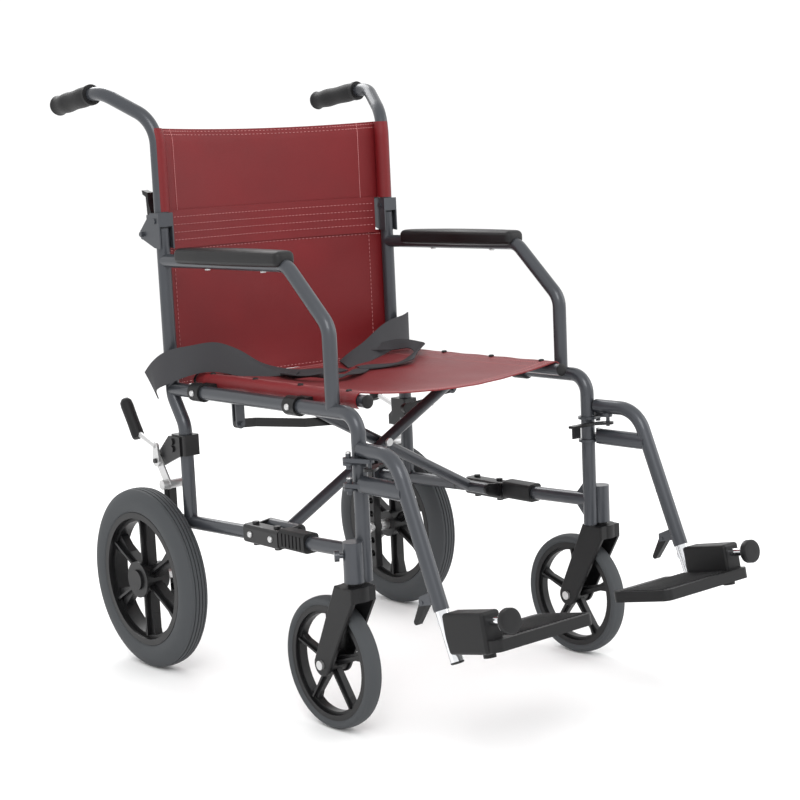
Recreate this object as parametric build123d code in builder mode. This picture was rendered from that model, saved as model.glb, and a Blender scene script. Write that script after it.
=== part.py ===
from build123d import *
import os
from math import atan2, cos, degrees, hypot, pi, radians, sin

# Folding transport chair, millimetres. +Z is up, the sitter faces -Y, and the
# sitter's right side is -X. The origin is on the floor, midway along the chair.
# Left pieces (+X) are modelled and mirrored to the right, except where noted.

os.makedirs("parts", exist_ok=True)

# ---------------------------------------------------------------- driving sizes
FRAME_X = 236.0           # middle plane of each side frame from the centre plane
TUBE_R = 11.1             # frame tube, 22.2 mm outside diameter
RAIL_R = 9.5              # seat rail and brace tube, 19 mm
SEAT_Z = 473.0            # axis height of the frame's seat tube
ARM_Z = 683.0             # axis height of the arm tube
BACK_SPLIT_Z = 736.0      # height where the back folds
BACK_TOP_Z = 895.0        # top of the back upholstery
HANDLE_Z = 954.0          # axis height of the push handle where the grip starts
WHEEL_D = 305.0           # rear wheel over its tyre
TYRE_W = 44.0
WHEEL_X = 270.5           # middle plane of a rear wheel
CASTER_D = 200.0
CASTER_W = 27.0
STEM_X = 258.0            # caster stem and hanger pin, outboard of the front post
WHEELBASE = 481.0
CASTER_TRAIL = 60.0
BACK_DEPTH = 54.0         # back post ahead of the rear axle
SEAT_DEPTH = 485.0        # back post to front post
LEG_STEP = 30.0           # rear leg ahead of the back post
GRIP_END_Y = 185.0        # end of the push grip's axis behind the rear axle
FOOT_END_Y = 854.0        # foot knob ahead of the rear axle

# ---------------------------------------------------------------- clearances
RUN_FIT = 0.05            # radial clearance of a turning pin
SLIDE_FIT = 0.10          # radial clearance of a sliding tube
GAP = 0.5                 # air between pieces that move past each other
SOFT_GAP = 0.6            # air between upholstery and tube

# ---------------------------------------------------------------- derived places
KNOB_R = 17.0
KNOB_THICK = 10.0
FOOT_TILT = 11.0          # degrees, foot plate rising to the front
GRIP_R = 16.5
GRIP_DROP = 12.5          # fall of the grip's axis over its length
FRONT_REACH = FOOT_END_Y + KNOB_THICK / 2 * cos(radians(FOOT_TILT)) + KNOB_R * sin(radians(FOOT_TILT))
REAR_REACH = GRIP_END_Y + 1.7
AXLE_Y = (FRONT_REACH - REAR_REACH) / 2
WHEEL_R = WHEEL_D / 2
CASTER_R = CASTER_D / 2
POST_Y = AXLE_Y - BACK_DEPTH
LEG_Y = POST_Y - LEG_STEP
FRONT_Y = POST_Y - SEAT_DEPTH
CASTER_Y = AXLE_Y - WHEELBASE
STEM_Y = CASTER_Y - CASTER_TRAIL


def save(shape, name):
    """Label one finished piece and write it to its own file."""
    shape.label = name
    export_step(shape, f"parts/{name}.step")


def save_pair(shape, name):
    """Write a left piece, and its mirror image as the right one."""
    save(shape, f"{name}_left")
    save(mirror(shape, about=Plane.YZ), f"{name}_right")


def tube(points, radii, radius):
    """Add a round bar or closed tube along straight runs joined by arcs."""
    if radii:
        with BuildLine() as route:
            FilletPolyline(*points, radius=radii)
    else:
        with BuildLine() as route:
            Line(*points)
    with BuildSketch(Plane(origin=route.line @ 0, z_dir=route.line % 0)) as section:
        Circle(radius)
    sweep(sections=section.sketch, path=route.line)


def rod(start, end, radius, mode=Mode.ADD):
    """Add or cut a straight cylinder between two points."""
    along = Vector(*end) - Vector(*start)
    with BuildSketch(Plane(origin=start, z_dir=along)) as section:
        Circle(radius)
    extrude(to_extrude=section.sketch, amount=along.length, mode=mode)


def block(low, high, mode=Mode.ADD):
    """Add or cut a box between two opposite corners."""
    centre = tuple((a + b) / 2 for a, b in zip(low, high))
    sizes = [b - a for a, b in zip(low, high)]
    with Locations(centre):
        Box(*sizes, mode=mode)


def x_plate(outline, x_low, x_high, mode=Mode.ADD):
    """Add or cut a flat plate square to X. The outline is a list of (y, z)."""
    with BuildSketch(Plane.YZ.offset(x_low)) as section:
        Polygon(*outline, align=None)
    extrude(to_extrude=section.sketch, amount=x_high - x_low, mode=mode)


# ================================================================ side frames
LOW_REAR_Z = 253.0        # lower rail's axis at the rear leg
LOW_FRONT_Z = 270.0       # and at the front post
RAIL_TAIL_Y = AXLE_Y - 8.0
WELD_STEP = 0.06          # welded tubes differ by a hair, so their surfaces cross cleanly
POST_TOP_Z = BACK_SPLIT_Z - 1.0
FRONT_BEND_R = 30.0
LEG_BEND_R = 40.0
LEG_BEND_HIGH_Z = 462.0
LEG_BEND_LOW_Z = 415.0
ARM_BEND_Y = FRONT_Y + 151.0
ARM_DROP_Y = FRONT_Y + 56.5
ARM_DROP_Z = 596.0
ARM_BEND_R = 35.0
STEM_TUBE_R = 15.0
STEM_LOW_Z = 231.0
STEM_HIGH_Z = 291.0
STEM_BORE_R = 8.0
POST_FOOT_Z = 229.0
LUG_THICK = 4.0
LUG_RING = 4.5            # lug metal around the post or pin
LUG_Z = (366.0, 403.0)    # undersides of the hanger lugs
PIN_R = 4.0
PIN_RISE = 17.0
PIN_DROP = 6.0
GUSSET = 18.0
GUSSET_THICK = 3.0
STRAP_Y = AXLE_Y - 222.0  # strap that carries the fold link
STRAP_X = 224.0
STRAP_W = 16.0
STRAP_THICK = 3.0
LINK_THICK = 5.0
LINK_PIVOT_Z = 429.0
LINK_PIN_R = 3.5
TAIL_PLATE_X = 214.0
TAIL_PLATE = 4.0
SCREW_Z = 271.0
SCREW_OUT = 17.0
SCREW_BACK = 11.0

rail_slope = (LOW_FRONT_Z - LOW_REAR_Z) / (LEG_Y - FRONT_Y)


def low_rail_z(y):
    """Height of the lower rail's axis at a given y."""
    return LOW_REAR_Z + (LEG_Y - y) * rail_slope


LUG_EAR_R = PIN_R + LUG_RING
LUG_POST_R = TUBE_R + LUG_RING
HINGE_EAR_R = 9.0
BACK_PIVOT_Y = POST_Y + 37.0
BACK_PIVOT_Z = BACK_SPLIT_Z - 10.0
BACK_PIN_R = 4.0
HINGE_LUG_W = 14.0

with BuildPart() as side_frame:
    # back post and rear leg, one bent tube
    tube(
        [(FRAME_X, POST_Y, POST_TOP_Z), (FRAME_X, POST_Y, LEG_BEND_HIGH_Z),
         (FRAME_X, LEG_Y, LEG_BEND_LOW_Z), (FRAME_X, LEG_Y, LOW_REAR_Z)],
        LEG_BEND_R, TUBE_R)
    # seat tube and front post
    tube(
        [(FRAME_X, POST_Y, SEAT_Z), (FRAME_X, FRONT_Y, SEAT_Z), (FRAME_X, FRONT_Y, POST_FOOT_Z)],
        FRONT_BEND_R, TUBE_R - WELD_STEP)
    # lower rail, running on behind the leg to the axle bar
    rod((FRAME_X, FRONT_Y, LOW_FRONT_Z), (FRAME_X, RAIL_TAIL_Y - 1, low_rail_z(RAIL_TAIL_Y - 1)),
        TUBE_R - 2 * WELD_STEP)
    # arm tube
    tube(
        [(FRAME_X, POST_Y, ARM_Z), (FRAME_X, ARM_BEND_Y, ARM_Z),
         (FRAME_X, ARM_DROP_Y, ARM_DROP_Z), (FRAME_X, ARM_DROP_Y, SEAT_Z)],
        ARM_BEND_R, TUBE_R - 3 * WELD_STEP)
    # caster stem housing
    rod((STEM_X, STEM_Y, STEM_LOW_Z), (STEM_X, STEM_Y, STEM_HIGH_Z), STEM_TUBE_R)
    rod((STEM_X, STEM_Y, STEM_LOW_Z), (STEM_X, STEM_Y, STEM_HIGH_Z - STEM_TUBE_R / 2),
        STEM_BORE_R, Mode.SUBTRACT)
    # lugs round the front post with the two hanger pins
    for z in LUG_Z:
        with BuildSketch(Plane.XY.offset(z)) as lug:
            with Locations((FRAME_X, FRONT_Y)):
                Circle(LUG_POST_R)
            with Locations((STEM_X, STEM_Y)):
                Circle(LUG_EAR_R)
            with BuildLine():
                Polyline((FRAME_X, FRONT_Y - LUG_POST_R), (STEM_X, STEM_Y - LUG_EAR_R),
                         (STEM_X, STEM_Y + LUG_EAR_R), (FRAME_X, FRONT_Y + LUG_POST_R), close=True)
            make_face()
        extrude(to_extrude=lug.sketch, amount=LUG_THICK)
        rod((STEM_X, STEM_Y, z - PIN_DROP), (STEM_X, STEM_Y, z + PIN_RISE), PIN_R)
    # gussets above and below the lower rail at the front post
    gusset_y = FRONT_Y + TUBE_R + GUSSET
    for side in (-1, 1):
        rail_z = low_rail_z(gusset_y) + side * (TUBE_R - 2)
        x_plate([(gusset_y, rail_z), (FRONT_Y, rail_z), (FRONT_Y, rail_z + side * (GUSSET + 6)),
                 (FRONT_Y + TUBE_R - 1, rail_z + side * (GUSSET + 3))],
                FRAME_X - GUSSET_THICK / 2, FRAME_X + GUSSET_THICK / 2)
    # small gusset behind the lower rail's joint with the leg
    x_plate([(LEG_Y - TUBE_R - 10, low_rail_z(LEG_Y) + TUBE_R - 2), (LEG_Y, low_rail_z(LEG_Y)),
             (LEG_Y, low_rail_z(LEG_Y) + TUBE_R + 12)],
            FRAME_X - GUSSET_THICK / 2, FRAME_X + GUSSET_THICK / 2)
    # clevis strap for the fold link, hanging from the seat tube
    for offset in (-1, 1):
        strap_y = STRAP_Y + offset * (LINK_THICK / 2 + GAP + STRAP_THICK / 2)
        with BuildSketch(Plane.XZ.offset(-strap_y)) as strap:
            with Locations((STRAP_X, (LINK_PIVOT_Z + SEAT_Z) / 2)):
                Rectangle(STRAP_W, SEAT_Z - LINK_PIVOT_Z)
            with Locations((STRAP_X, LINK_PIVOT_Z)):
                Circle(STRAP_W / 2)
        extrude(to_extrude=strap.sketch, amount=STRAP_THICK / 2, both=True)
    rod((STRAP_X, STRAP_Y - 12, LINK_PIVOT_Z), (STRAP_X, STRAP_Y + 12, LINK_PIVOT_Z), LINK_PIN_R)
    # rear lug of the back hinge and its pivot pin
    x_plate([(POST_Y, BACK_PIVOT_Z - HINGE_EAR_R), (BACK_PIVOT_Y, BACK_PIVOT_Z - HINGE_EAR_R),
             (BACK_PIVOT_Y, BACK_PIVOT_Z + HINGE_EAR_R), (POST_Y, BACK_PIVOT_Z + HINGE_EAR_R)],
            FRAME_X - HINGE_LUG_W / 2, FRAME_X + HINGE_LUG_W / 2)
    rod((FRAME_X - HINGE_LUG_W / 2, BACK_PIVOT_Y, BACK_PIVOT_Z),
        (FRAME_X + HINGE_LUG_W / 2, BACK_PIVOT_Y, BACK_PIVOT_Z), HINGE_EAR_R)
    rod((FRAME_X - TUBE_R - 8, BACK_PIVOT_Y, BACK_PIVOT_Z),
        (FRAME_X + TUBE_R + 8, BACK_PIVOT_Y, BACK_PIVOT_Z), BACK_PIN_R)
    # plate closing the lower rail's tail against the axle bar
    block((TAIL_PLATE_X, RAIL_TAIL_Y - TAIL_PLATE, low_rail_z(RAIL_TAIL_Y) - TUBE_R - 3),
          (FRAME_X + 5, RAIL_TAIL_Y, low_rail_z(RAIL_TAIL_Y) + TUBE_R + 3))
    # thumb screw that locks the caster stem
    rod((STEM_X + SCREW_OUT * 0.6, STEM_Y + SCREW_BACK * 0.6, SCREW_Z),
        (STEM_X + SCREW_OUT, STEM_Y + SCREW_BACK, SCREW_Z), 3.5)
    rod((STEM_X + SCREW_OUT, STEM_Y + SCREW_BACK, SCREW_Z),
        (STEM_X + 1.35 * SCREW_OUT, STEM_Y + 1.35 * SCREW_BACK, SCREW_Z), 8.0)
save_pair(side_frame.part, "side_frame")

# ---------------------------------------------------------------- arm pads
PAD_LENGTH = 285.0
PAD_REAR_Y = POST_Y - 51.0
PAD_ROLL_R = 15.5
PAD_WIDTH = 44.0
PAD_HEIGHT = 27.0
PAD_WALL_CLEAR = 0.4

with BuildPart() as armrest_pad:
    # rounded section, open below where it sits over the arm tube
    with BuildSketch(Plane.XZ.offset(-PAD_REAR_Y)) as pad_section:
        with Locations((FRAME_X, ARM_Z + TUBE_R / 2 + 2)):
            RectangleRounded(PAD_WIDTH, PAD_HEIGHT, 11)
        with Locations((FRAME_X, ARM_Z)):
            Circle(TUBE_R + PAD_WALL_CLEAR, mode=Mode.SUBTRACT)
        with Locations((FRAME_X, ARM_Z - TUBE_R)):
            Rectangle(2 * (TUBE_R + PAD_WALL_CLEAR), 2 * TUBE_R, mode=Mode.SUBTRACT)
    extrude(to_extrude=pad_section.sketch, amount=PAD_LENGTH)
    # relief over the front bend of the arm tube
    x_plate([(PAD_REAR_Y - PAD_LENGTH - 1, ARM_Z - 30), (PAD_REAR_Y - PAD_LENGTH + 26, ARM_Z - 30),
             (PAD_REAR_Y - PAD_LENGTH + 8, ARM_Z + 4), (PAD_REAR_Y - PAD_LENGTH - 1, ARM_Z + 4)],
            FRAME_X - PAD_WIDTH, FRAME_X + PAD_WIDTH, Mode.SUBTRACT)
save_pair(armrest_pad.part, "armrest_pad")

# ================================================================ folding brace
BRACE_HALF_X = 200.0      # lower pivots and seat rails from the centre plane
SEAT_RAIL_Z = 485.0
LOW_PIVOT_Z = 268.0
BRACE_Y = AXLE_Y - 298.0
BRACE_STEP = RAIL_R + 0.75  # axis of each brace tube beside the middle plane
SEAT_RAIL_FRONT_Y = FRONT_Y + 21.0
SEAT_RAIL_REAR_Y = POST_Y - 26.0
SLEEVE_HALF = 36.0
PIVOT_PIN_R = 5.0
CENTRE_Z = (LOW_PIVOT_Z + SEAT_RAIL_Z) / 2
CENTRE_BOLT_R = 4.0
EAR_THICK = 4.0
BRACKET_WALL = 2.2
BRACKET_HALF = 45.0
BOLT_HEAD_R = 5.5
BOLT_HEAD_H = 4.0
BOLT_SPACING = 56.0
SCREW_REACH = 3.0


def low_rail_cut(y_low, y_high, radius):
    """Cut the lower rail's own round out of the active part."""
    rod((FRAME_X, y_low, low_rail_z(y_low)), (FRAME_X, y_high, low_rail_z(y_high)), radius, Mode.SUBTRACT)


# bracket clamped round the lower rail, whose ears hold the brace's pivot pin
with BuildPart() as brace_bracket:
    bracket_z = low_rail_z(BRACE_Y)
    clamp_half = TUBE_R + BRACKET_WALL
    with BuildSketch(Plane.XZ.offset(-(BRACE_Y - BRACKET_HALF))) as clamp:
        with Locations((FRAME_X, bracket_z)):
            RectangleRounded(2 * clamp_half, 2 * clamp_half + 3, 6)
    extrude(to_extrude=clamp.sketch, amount=-2 * BRACKET_HALF)
    for side in (-1, 1):
        middle = BRACE_Y + side * (SLEEVE_HALF + GAP + EAR_THICK / 2)
        with BuildSketch(Plane.XZ.offset(-middle)) as ear:
            with BuildLine():
                Polyline((BRACE_HALF_X, LOW_PIVOT_Z - RAIL_R), (FRAME_X - TUBE_R, bracket_z - RAIL_R),
                         (FRAME_X - TUBE_R, bracket_z + clamp_half), (BRACE_HALF_X, LOW_PIVOT_Z + RAIL_R),
                         close=True)
            make_face()
            with Locations((BRACE_HALF_X, LOW_PIVOT_Z)):
                Circle(RAIL_R)
        extrude(to_extrude=ear.sketch, amount=EAR_THICK / 2, both=True)
        bolt_y = BRACE_Y + side * BOLT_SPACING / 2
        rod((FRAME_X, bolt_y, bracket_z - clamp_half - 1.5 - BOLT_HEAD_H),
            (FRAME_X, bolt_y, bracket_z + clamp_half + 1.5 + BOLT_HEAD_H), BOLT_HEAD_R)
    low_rail_cut(BRACE_Y - BRACKET_HALF - 5, BRACE_Y + BRACKET_HALF + 5, TUBE_R + 0.02)
    pin_half = SLEEVE_HALF + GAP + EAR_THICK + SCREW_REACH
    rod((BRACE_HALF_X, BRACE_Y - pin_half, LOW_PIVOT_Z), (BRACE_HALF_X, BRACE_Y + pin_half, LOW_PIVOT_Z),
        PIVOT_PIN_R)
save_pair(brace_bracket.part, "brace_bracket")


def brace(side, name):
    """One brace tube with its lower sleeve and its seat rail; side is the rail's side."""
    tube_y = BRACE_Y - side * BRACE_STEP
    rail_x = side * BRACE_HALF_X
    with BuildPart() as cross_tube:
        rod((-rail_x, tube_y, LOW_PIVOT_Z), (rail_x, tube_y, SEAT_RAIL_Z), RAIL_R - 2 * WELD_STEP)
        rod((-rail_x, BRACE_Y - SLEEVE_HALF, LOW_PIVOT_Z), (-rail_x, BRACE_Y + SLEEVE_HALF, LOW_PIVOT_Z),
            RAIL_R)
        rod((rail_x, SEAT_RAIL_FRONT_Y, SEAT_RAIL_Z), (rail_x, SEAT_RAIL_REAR_Y, SEAT_RAIL_Z), RAIL_R)
        rod((-rail_x, BRACE_Y - SLEEVE_HALF - 1, LOW_PIVOT_Z),
            (-rail_x, BRACE_Y + SLEEVE_HALF + 1, LOW_PIVOT_Z), PIVOT_PIN_R + RUN_FIT, Mode.SUBTRACT)
        rod((0, tube_y - 2 * RAIL_R, CENTRE_Z), (0, tube_y + 2 * RAIL_R, CENTRE_Z),
            CENTRE_BOLT_R + RUN_FIT, Mode.SUBTRACT)
    save(cross_tube.part, name)


brace(1, "brace_left_rail")
brace(-1, "brace_right_rail")

with BuildPart() as centre_bolt:
    bolt_half = BRACE_STEP + RAIL_R + GAP
    rod((0, BRACE_Y - bolt_half, CENTRE_Z), (0, BRACE_Y + bolt_half, CENTRE_Z), CENTRE_BOLT_R)
    for side in (-1, 1):
        rod((0, BRACE_Y + side * bolt_half, CENTRE_Z),
            (0, BRACE_Y + side * (bolt_half + BOLT_HEAD_H), CENTRE_Z), BOLT_HEAD_R + 1)
save(centre_bolt.part, "centre_bolt")

# ---------------------------------------------------------------- fold links
LINK_HEIGHT = 14.0
LINK_EYE_R = 8.0
LINK_END = 140.0          # brace bolt from the seat rail, along the brace
LINK_JOG_START = 34.0     # where the flat bar steps forward, along the bar
LINK_JOG_END = 92.0
brace_angle = atan2(SEAT_RAIL_Z - LOW_PIVOT_Z, 2 * BRACE_HALF_X)
link_end_x = BRACE_HALF_X - LINK_END * cos(brace_angle)
link_end_z = SEAT_RAIL_Z - LINK_END * sin(brace_angle)
link_length = hypot(STRAP_X - link_end_x, LINK_PIVOT_Z - link_end_z)
link_front_y = BRACE_Y + BRACE_STEP + RAIL_R + 1 + LINK_THICK / 2

with BuildPart() as fold_link:
    link_along = Vector(link_end_x - STRAP_X, 0, link_end_z - LINK_PIVOT_Z).normalized()
    link_up = Vector(link_along.Z, 0, -link_along.X)
    link_plane = Plane(origin=(STRAP_X, STRAP_Y, LINK_PIVOT_Z), x_dir=link_along, z_dir=link_up)
    step = link_plane.to_local_coords(Vector(STRAP_X, link_front_y, LINK_PIVOT_Z)).Y
    half = LINK_THICK / 2
    with BuildSketch(link_plane) as bar:
        with BuildLine():
            Polyline((0, -half), (LINK_JOG_START, -half), (LINK_JOG_END, step - half),
                     (link_length, step - half), (link_length, step + half), (LINK_JOG_END - 2, step + half),
                     (LINK_JOG_START - 2, half), (0, half), close=True)
        make_face()
    extrude(to_extrude=bar.sketch, amount=LINK_HEIGHT / 2, both=True)
    rod((STRAP_X, STRAP_Y - half, LINK_PIVOT_Z), (STRAP_X, STRAP_Y + half, LINK_PIVOT_Z), LINK_EYE_R)
    rod((link_end_x, link_front_y - half, link_end_z), (link_end_x, link_front_y + half, link_end_z),
        LINK_EYE_R)
    rod((STRAP_X, STRAP_Y - 2 * half, LINK_PIVOT_Z), (STRAP_X, STRAP_Y + 2 * half, LINK_PIVOT_Z),
        LINK_PIN_R + RUN_FIT, Mode.SUBTRACT)
    rod((link_end_x, link_front_y, link_end_z), (link_end_x, link_front_y + half + 5, link_end_z), 6.0)
save_pair(fold_link.part, "fold_link")

# ---------------------------------------------------------------- seat saddles and rail clip
SADDLE_Y = (POST_Y - 80.0, POST_Y - 336.0)
SADDLE_HALF = 14.0
SADDLE_WALL = 4.0

with BuildPart() as seat_saddles:
    for saddle_y in SADDLE_Y:
        with BuildSketch(Plane.XZ.offset(-(saddle_y - SADDLE_HALF))) as saddle:
            with Locations((FRAME_X, SEAT_Z)):
                Circle(TUBE_R + SADDLE_WALL)
            with BuildLine():
                Polyline((FRAME_X, SEAT_Z - TUBE_R),
                         (BRACE_HALF_X - RAIL_R - 3, SEAT_RAIL_Z - RAIL_R - 5),
                         (BRACE_HALF_X - RAIL_R - 3, SEAT_RAIL_Z - 2),
                         (BRACE_HALF_X + RAIL_R + 3, SEAT_RAIL_Z),
                         (FRAME_X, SEAT_Z + TUBE_R), close=True)
            make_face()
            with Locations((BRACE_HALF_X, SEAT_RAIL_Z)):
                Circle(RAIL_R + GAP, mode=Mode.SUBTRACT)
            with Locations((BRACE_HALF_X, SEAT_RAIL_Z + RAIL_R)):
                Rectangle(2 * (RAIL_R + GAP), 2 * RAIL_R, mode=Mode.SUBTRACT)
            with Locations((FRAME_X, SEAT_Z)):
                Circle(TUBE_R + 0.02, mode=Mode.SUBTRACT)
        extrude(to_extrude=saddle.sketch, amount=-2 * SADDLE_HALF)
save_pair(seat_saddles.part, "seat_saddles")

CLIP_Y = AXLE_Y - 380.0
CLIP_HALF = 32.0
CLIP_RIBS = 6

with BuildPart() as rail_clip:
    clip_z = low_rail_z(CLIP_Y)
    with BuildSketch(Plane.XZ.offset(-(CLIP_Y - CLIP_HALF))) as clip_section:
        with Locations((FRAME_X, clip_z + 1)):
            RectangleRounded(2 * TUBE_R + 7, 2 * TUBE_R + 8, 7)
    extrude(to_extrude=clip_section.sketch, amount=-2 * CLIP_HALF)
    pitch = 2 * CLIP_HALF / (CLIP_RIBS + 1)
    for rib in range(CLIP_RIBS):
        groove_y = CLIP_Y - CLIP_HALF + pitch * (rib + 1)
        block((FRAME_X + TUBE_R + 2, groove_y - 1.5, clip_z - 9),
              (FRAME_X + TUBE_R + 8, groove_y + 1.5, clip_z + 11), Mode.SUBTRACT)
    low_rail_cut(CLIP_Y - CLIP_HALF - 5, CLIP_Y + CLIP_HALF + 5, TUBE_R + 0.02)
save_pair(rail_clip.part, "rail_clip")

# ================================================================ rear wheels
TYRE_SEAT_R = 113.0       # where the tyre meets the rim
RIM_INNER_R = 97.0
RIM_HALF = 19.0
SPOKES = 6
HUB_R = 24.0
HUB_FLANGE_R = 30.5
HUB_CAP_R = 17.0
HUB_IN = 23.0
HUB_OUT = 25.0
AXLE_R = 6.0
TREAD_GROOVES = (-9.0, -3.0, 3.0, 9.0)


def tyre(x, y, radius, seat_r, width, grooves, name):
    """Revolve one tyre about its axle and save the pair."""
    half = width / 2
    shoulder = half * 0.62
    shoulder_r = radius - width * 0.05
    side_r = (radius + seat_r) / 2
    with BuildPart() as ring:
        with BuildSketch(Plane(origin=(x, y, radius), x_dir=(1, 0, 0), z_dir=(0, -1, 0))) as profile:
            with BuildLine():
                ThreePointArc((-shoulder, shoulder_r), (0, radius), (shoulder, shoulder_r))
                ThreePointArc((shoulder, shoulder_r), (half * 0.97, side_r + width * 0.1),
                              (half * 0.92, seat_r + width * 0.06))
                Polyline((half * 0.92, seat_r + width * 0.06), (half * 0.8, seat_r), (-half * 0.8, seat_r),
                         (-half * 0.92, seat_r + width * 0.06))
                ThreePointArc((-half * 0.92, seat_r + width * 0.06), (-half * 0.97, side_r + width * 0.1),
                              (-shoulder, shoulder_r))
            make_face()
            for groove in grooves:
                with Locations((groove, radius)):
                    Rectangle(1.6, 5.0, mode=Mode.SUBTRACT)
        revolve(axis=Axis((x, y, radius), (1, 0, 0)))
    save_pair(ring.part, name)


tyre(WHEEL_X, AXLE_Y, WHEEL_R, TYRE_SEAT_R, TYRE_W, TREAD_GROOVES, "rear_tyre")


def ring_between(x, y, z, inner_r, outer_r, x_low, x_high):
    """Add a flat ring square to X about one wheel's axle."""
    with BuildSketch(Plane(origin=(x_low, y, z), x_dir=(0, 1, 0), z_dir=(1, 0, 0))) as band:
        Circle(outer_r)
        Circle(inner_r, mode=Mode.SUBTRACT)
    extrude(to_extrude=band.sketch, amount=x_high - x_low)


def flared_spokes(x, y, z, count, inner_r, outer_r, root, waist, flare, half_thick, first_angle):
    """Add spokes that widen where they join the rim."""
    with BuildSketch(Plane(origin=(x, y, z), x_dir=(0, 1, 0), z_dir=(1, 0, 0))) as fan:
        with PolarLocations(0, count, start_angle=first_angle):
            with BuildLine():
                Polyline((inner_r, -root), (outer_r * 0.72, -waist), (outer_r + 2, -flare),
                         (outer_r + 2, flare), (outer_r * 0.72, waist), (inner_r, root), close=True)
            make_face()
    extrude(to_extrude=fan.sketch, amount=half_thick, both=True)


with BuildPart() as rear_wheel:
    ring_between(WHEEL_X, AXLE_Y, WHEEL_R, RIM_INNER_R + 6, TYRE_SEAT_R,
                 WHEEL_X - RIM_HALF, WHEEL_X + RIM_HALF)
    ring_between(WHEEL_X, AXLE_Y, WHEEL_R, RIM_INNER_R, RIM_INNER_R + 7, WHEEL_X - 10, WHEEL_X + 10)
    ring_between(WHEEL_X, AXLE_Y, WHEEL_R, AXLE_R + RUN_FIT, HUB_R, WHEEL_X - HUB_IN, WHEEL_X + HUB_OUT)
    ring_between(WHEEL_X, AXLE_Y, WHEEL_R, AXLE_R + RUN_FIT, HUB_FLANGE_R, WHEEL_X + HUB_OUT - 4,
                 WHEEL_X + HUB_OUT)
    rod((WHEEL_X + HUB_OUT - 1, AXLE_Y, WHEEL_R), (WHEEL_X + HUB_OUT + 4, AXLE_Y, WHEEL_R), HUB_CAP_R)
    for first in range(SPOKES):
        angle = radians(90 + first * 360 / SPOKES)
        spoke_plane = Plane(origin=(WHEEL_X, AXLE_Y, WHEEL_R), x_dir=(0, cos(angle), sin(angle)),
                            z_dir=(1, 0, 0))
        with BuildSketch(spoke_plane) as spoke:
            with BuildLine():
                Polyline((HUB_R - 3, -9), (62, -7), (RIM_INNER_R + 2, -17), (RIM_INNER_R + 2, 17), (62, 7),
                         (HUB_R - 3, 9), close=True)
            make_face()
        extrude(to_extrude=spoke.sketch, amount=7, both=True)
        with BuildSketch(spoke_plane) as ridge:
            with BuildLine():
                Polyline((HUB_R - 3, -2), (RIM_INNER_R + 2, -2), (RIM_INNER_R + 2, 2), (HUB_R - 3, 2),
                         close=True)
            make_face()
        extrude(to_extrude=ridge.sketch, amount=14, both=True)
save_pair(rear_wheel.part, "rear_wheel")

# axle bar behind the leg, with its row of height holes
BAR_X = 220.0
BAR_HALF_X = 8.0
BAR_HALF_Y = 8.0
BAR_LOW_Z = 77.0
BAR_HIGH_Z = 300.0
HOLE_PITCH = 25.0
BAR_HOLES = (-2, -1, 1, 2)

with BuildPart() as axle_bar:
    block((BAR_X - BAR_HALF_X, AXLE_Y - BAR_HALF_Y, BAR_LOW_Z),
          (BAR_X + BAR_HALF_X, AXLE_Y + BAR_HALF_Y, BAR_HIGH_Z))
    fillet(axle_bar.edges().filter_by(Axis.Z), 1.5)
    for step_count in BAR_HOLES:
        z = WHEEL_R + step_count * HOLE_PITCH
        rod((BAR_X - 20, AXLE_Y, z), (BAR_X + 20, AXLE_Y, z), AXLE_R, Mode.SUBTRACT)
    rod((BAR_X - 20, AXLE_Y, WHEEL_R), (BAR_X + 20, AXLE_Y, WHEEL_R), AXLE_R + 0.02, Mode.SUBTRACT)
save_pair(axle_bar.part, "axle_bar")

with BuildPart() as rear_axle:
    spacer_x = BAR_X + BAR_HALF_X
    rod((BAR_X - BAR_HALF_X - 9, AXLE_Y, WHEEL_R), (WHEEL_X + HUB_OUT - 3, AXLE_Y, WHEEL_R), AXLE_R)
    rod((spacer_x, AXLE_Y, WHEEL_R), (WHEEL_X - HUB_IN - GAP, AXLE_Y, WHEEL_R), AXLE_R + 4)
    with BuildSketch(Plane.YZ.offset(BAR_X - BAR_HALF_X - 7)) as nut:
        with Locations((AXLE_Y, WHEEL_R)):
            RegularPolygon(10, 6)
    extrude(to_extrude=nut.sketch, amount=7)
save_pair(rear_axle.part, "rear_axle")

# ================================================================ wheel lock
LOCK_Y = AXLE_Y - 27.0
LOCK_Z = 353.0
LOCK_PIN_R = 4.0
CLAMP_LOW_Z = 366.0
CLAMP_HIGH_Z = 400.0
CHEEK_X = FRAME_X + TUBE_R + 3.0
CHEEK_THICK = 3.0
ARM_X = CHEEK_X + CHEEK_THICK + GAP
ARM_THICK = 3.0
LEVER_X = ARM_X + ARM_THICK + GAP
LEVER_THICK = 4.0
SHOE_Y = AXLE_Y - 52.0
SHOE_Z = 316.0
SHOE_R = 8.0
SHOE_IN_X = 222.0
SHOE_OUT_X = 268.0

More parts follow.
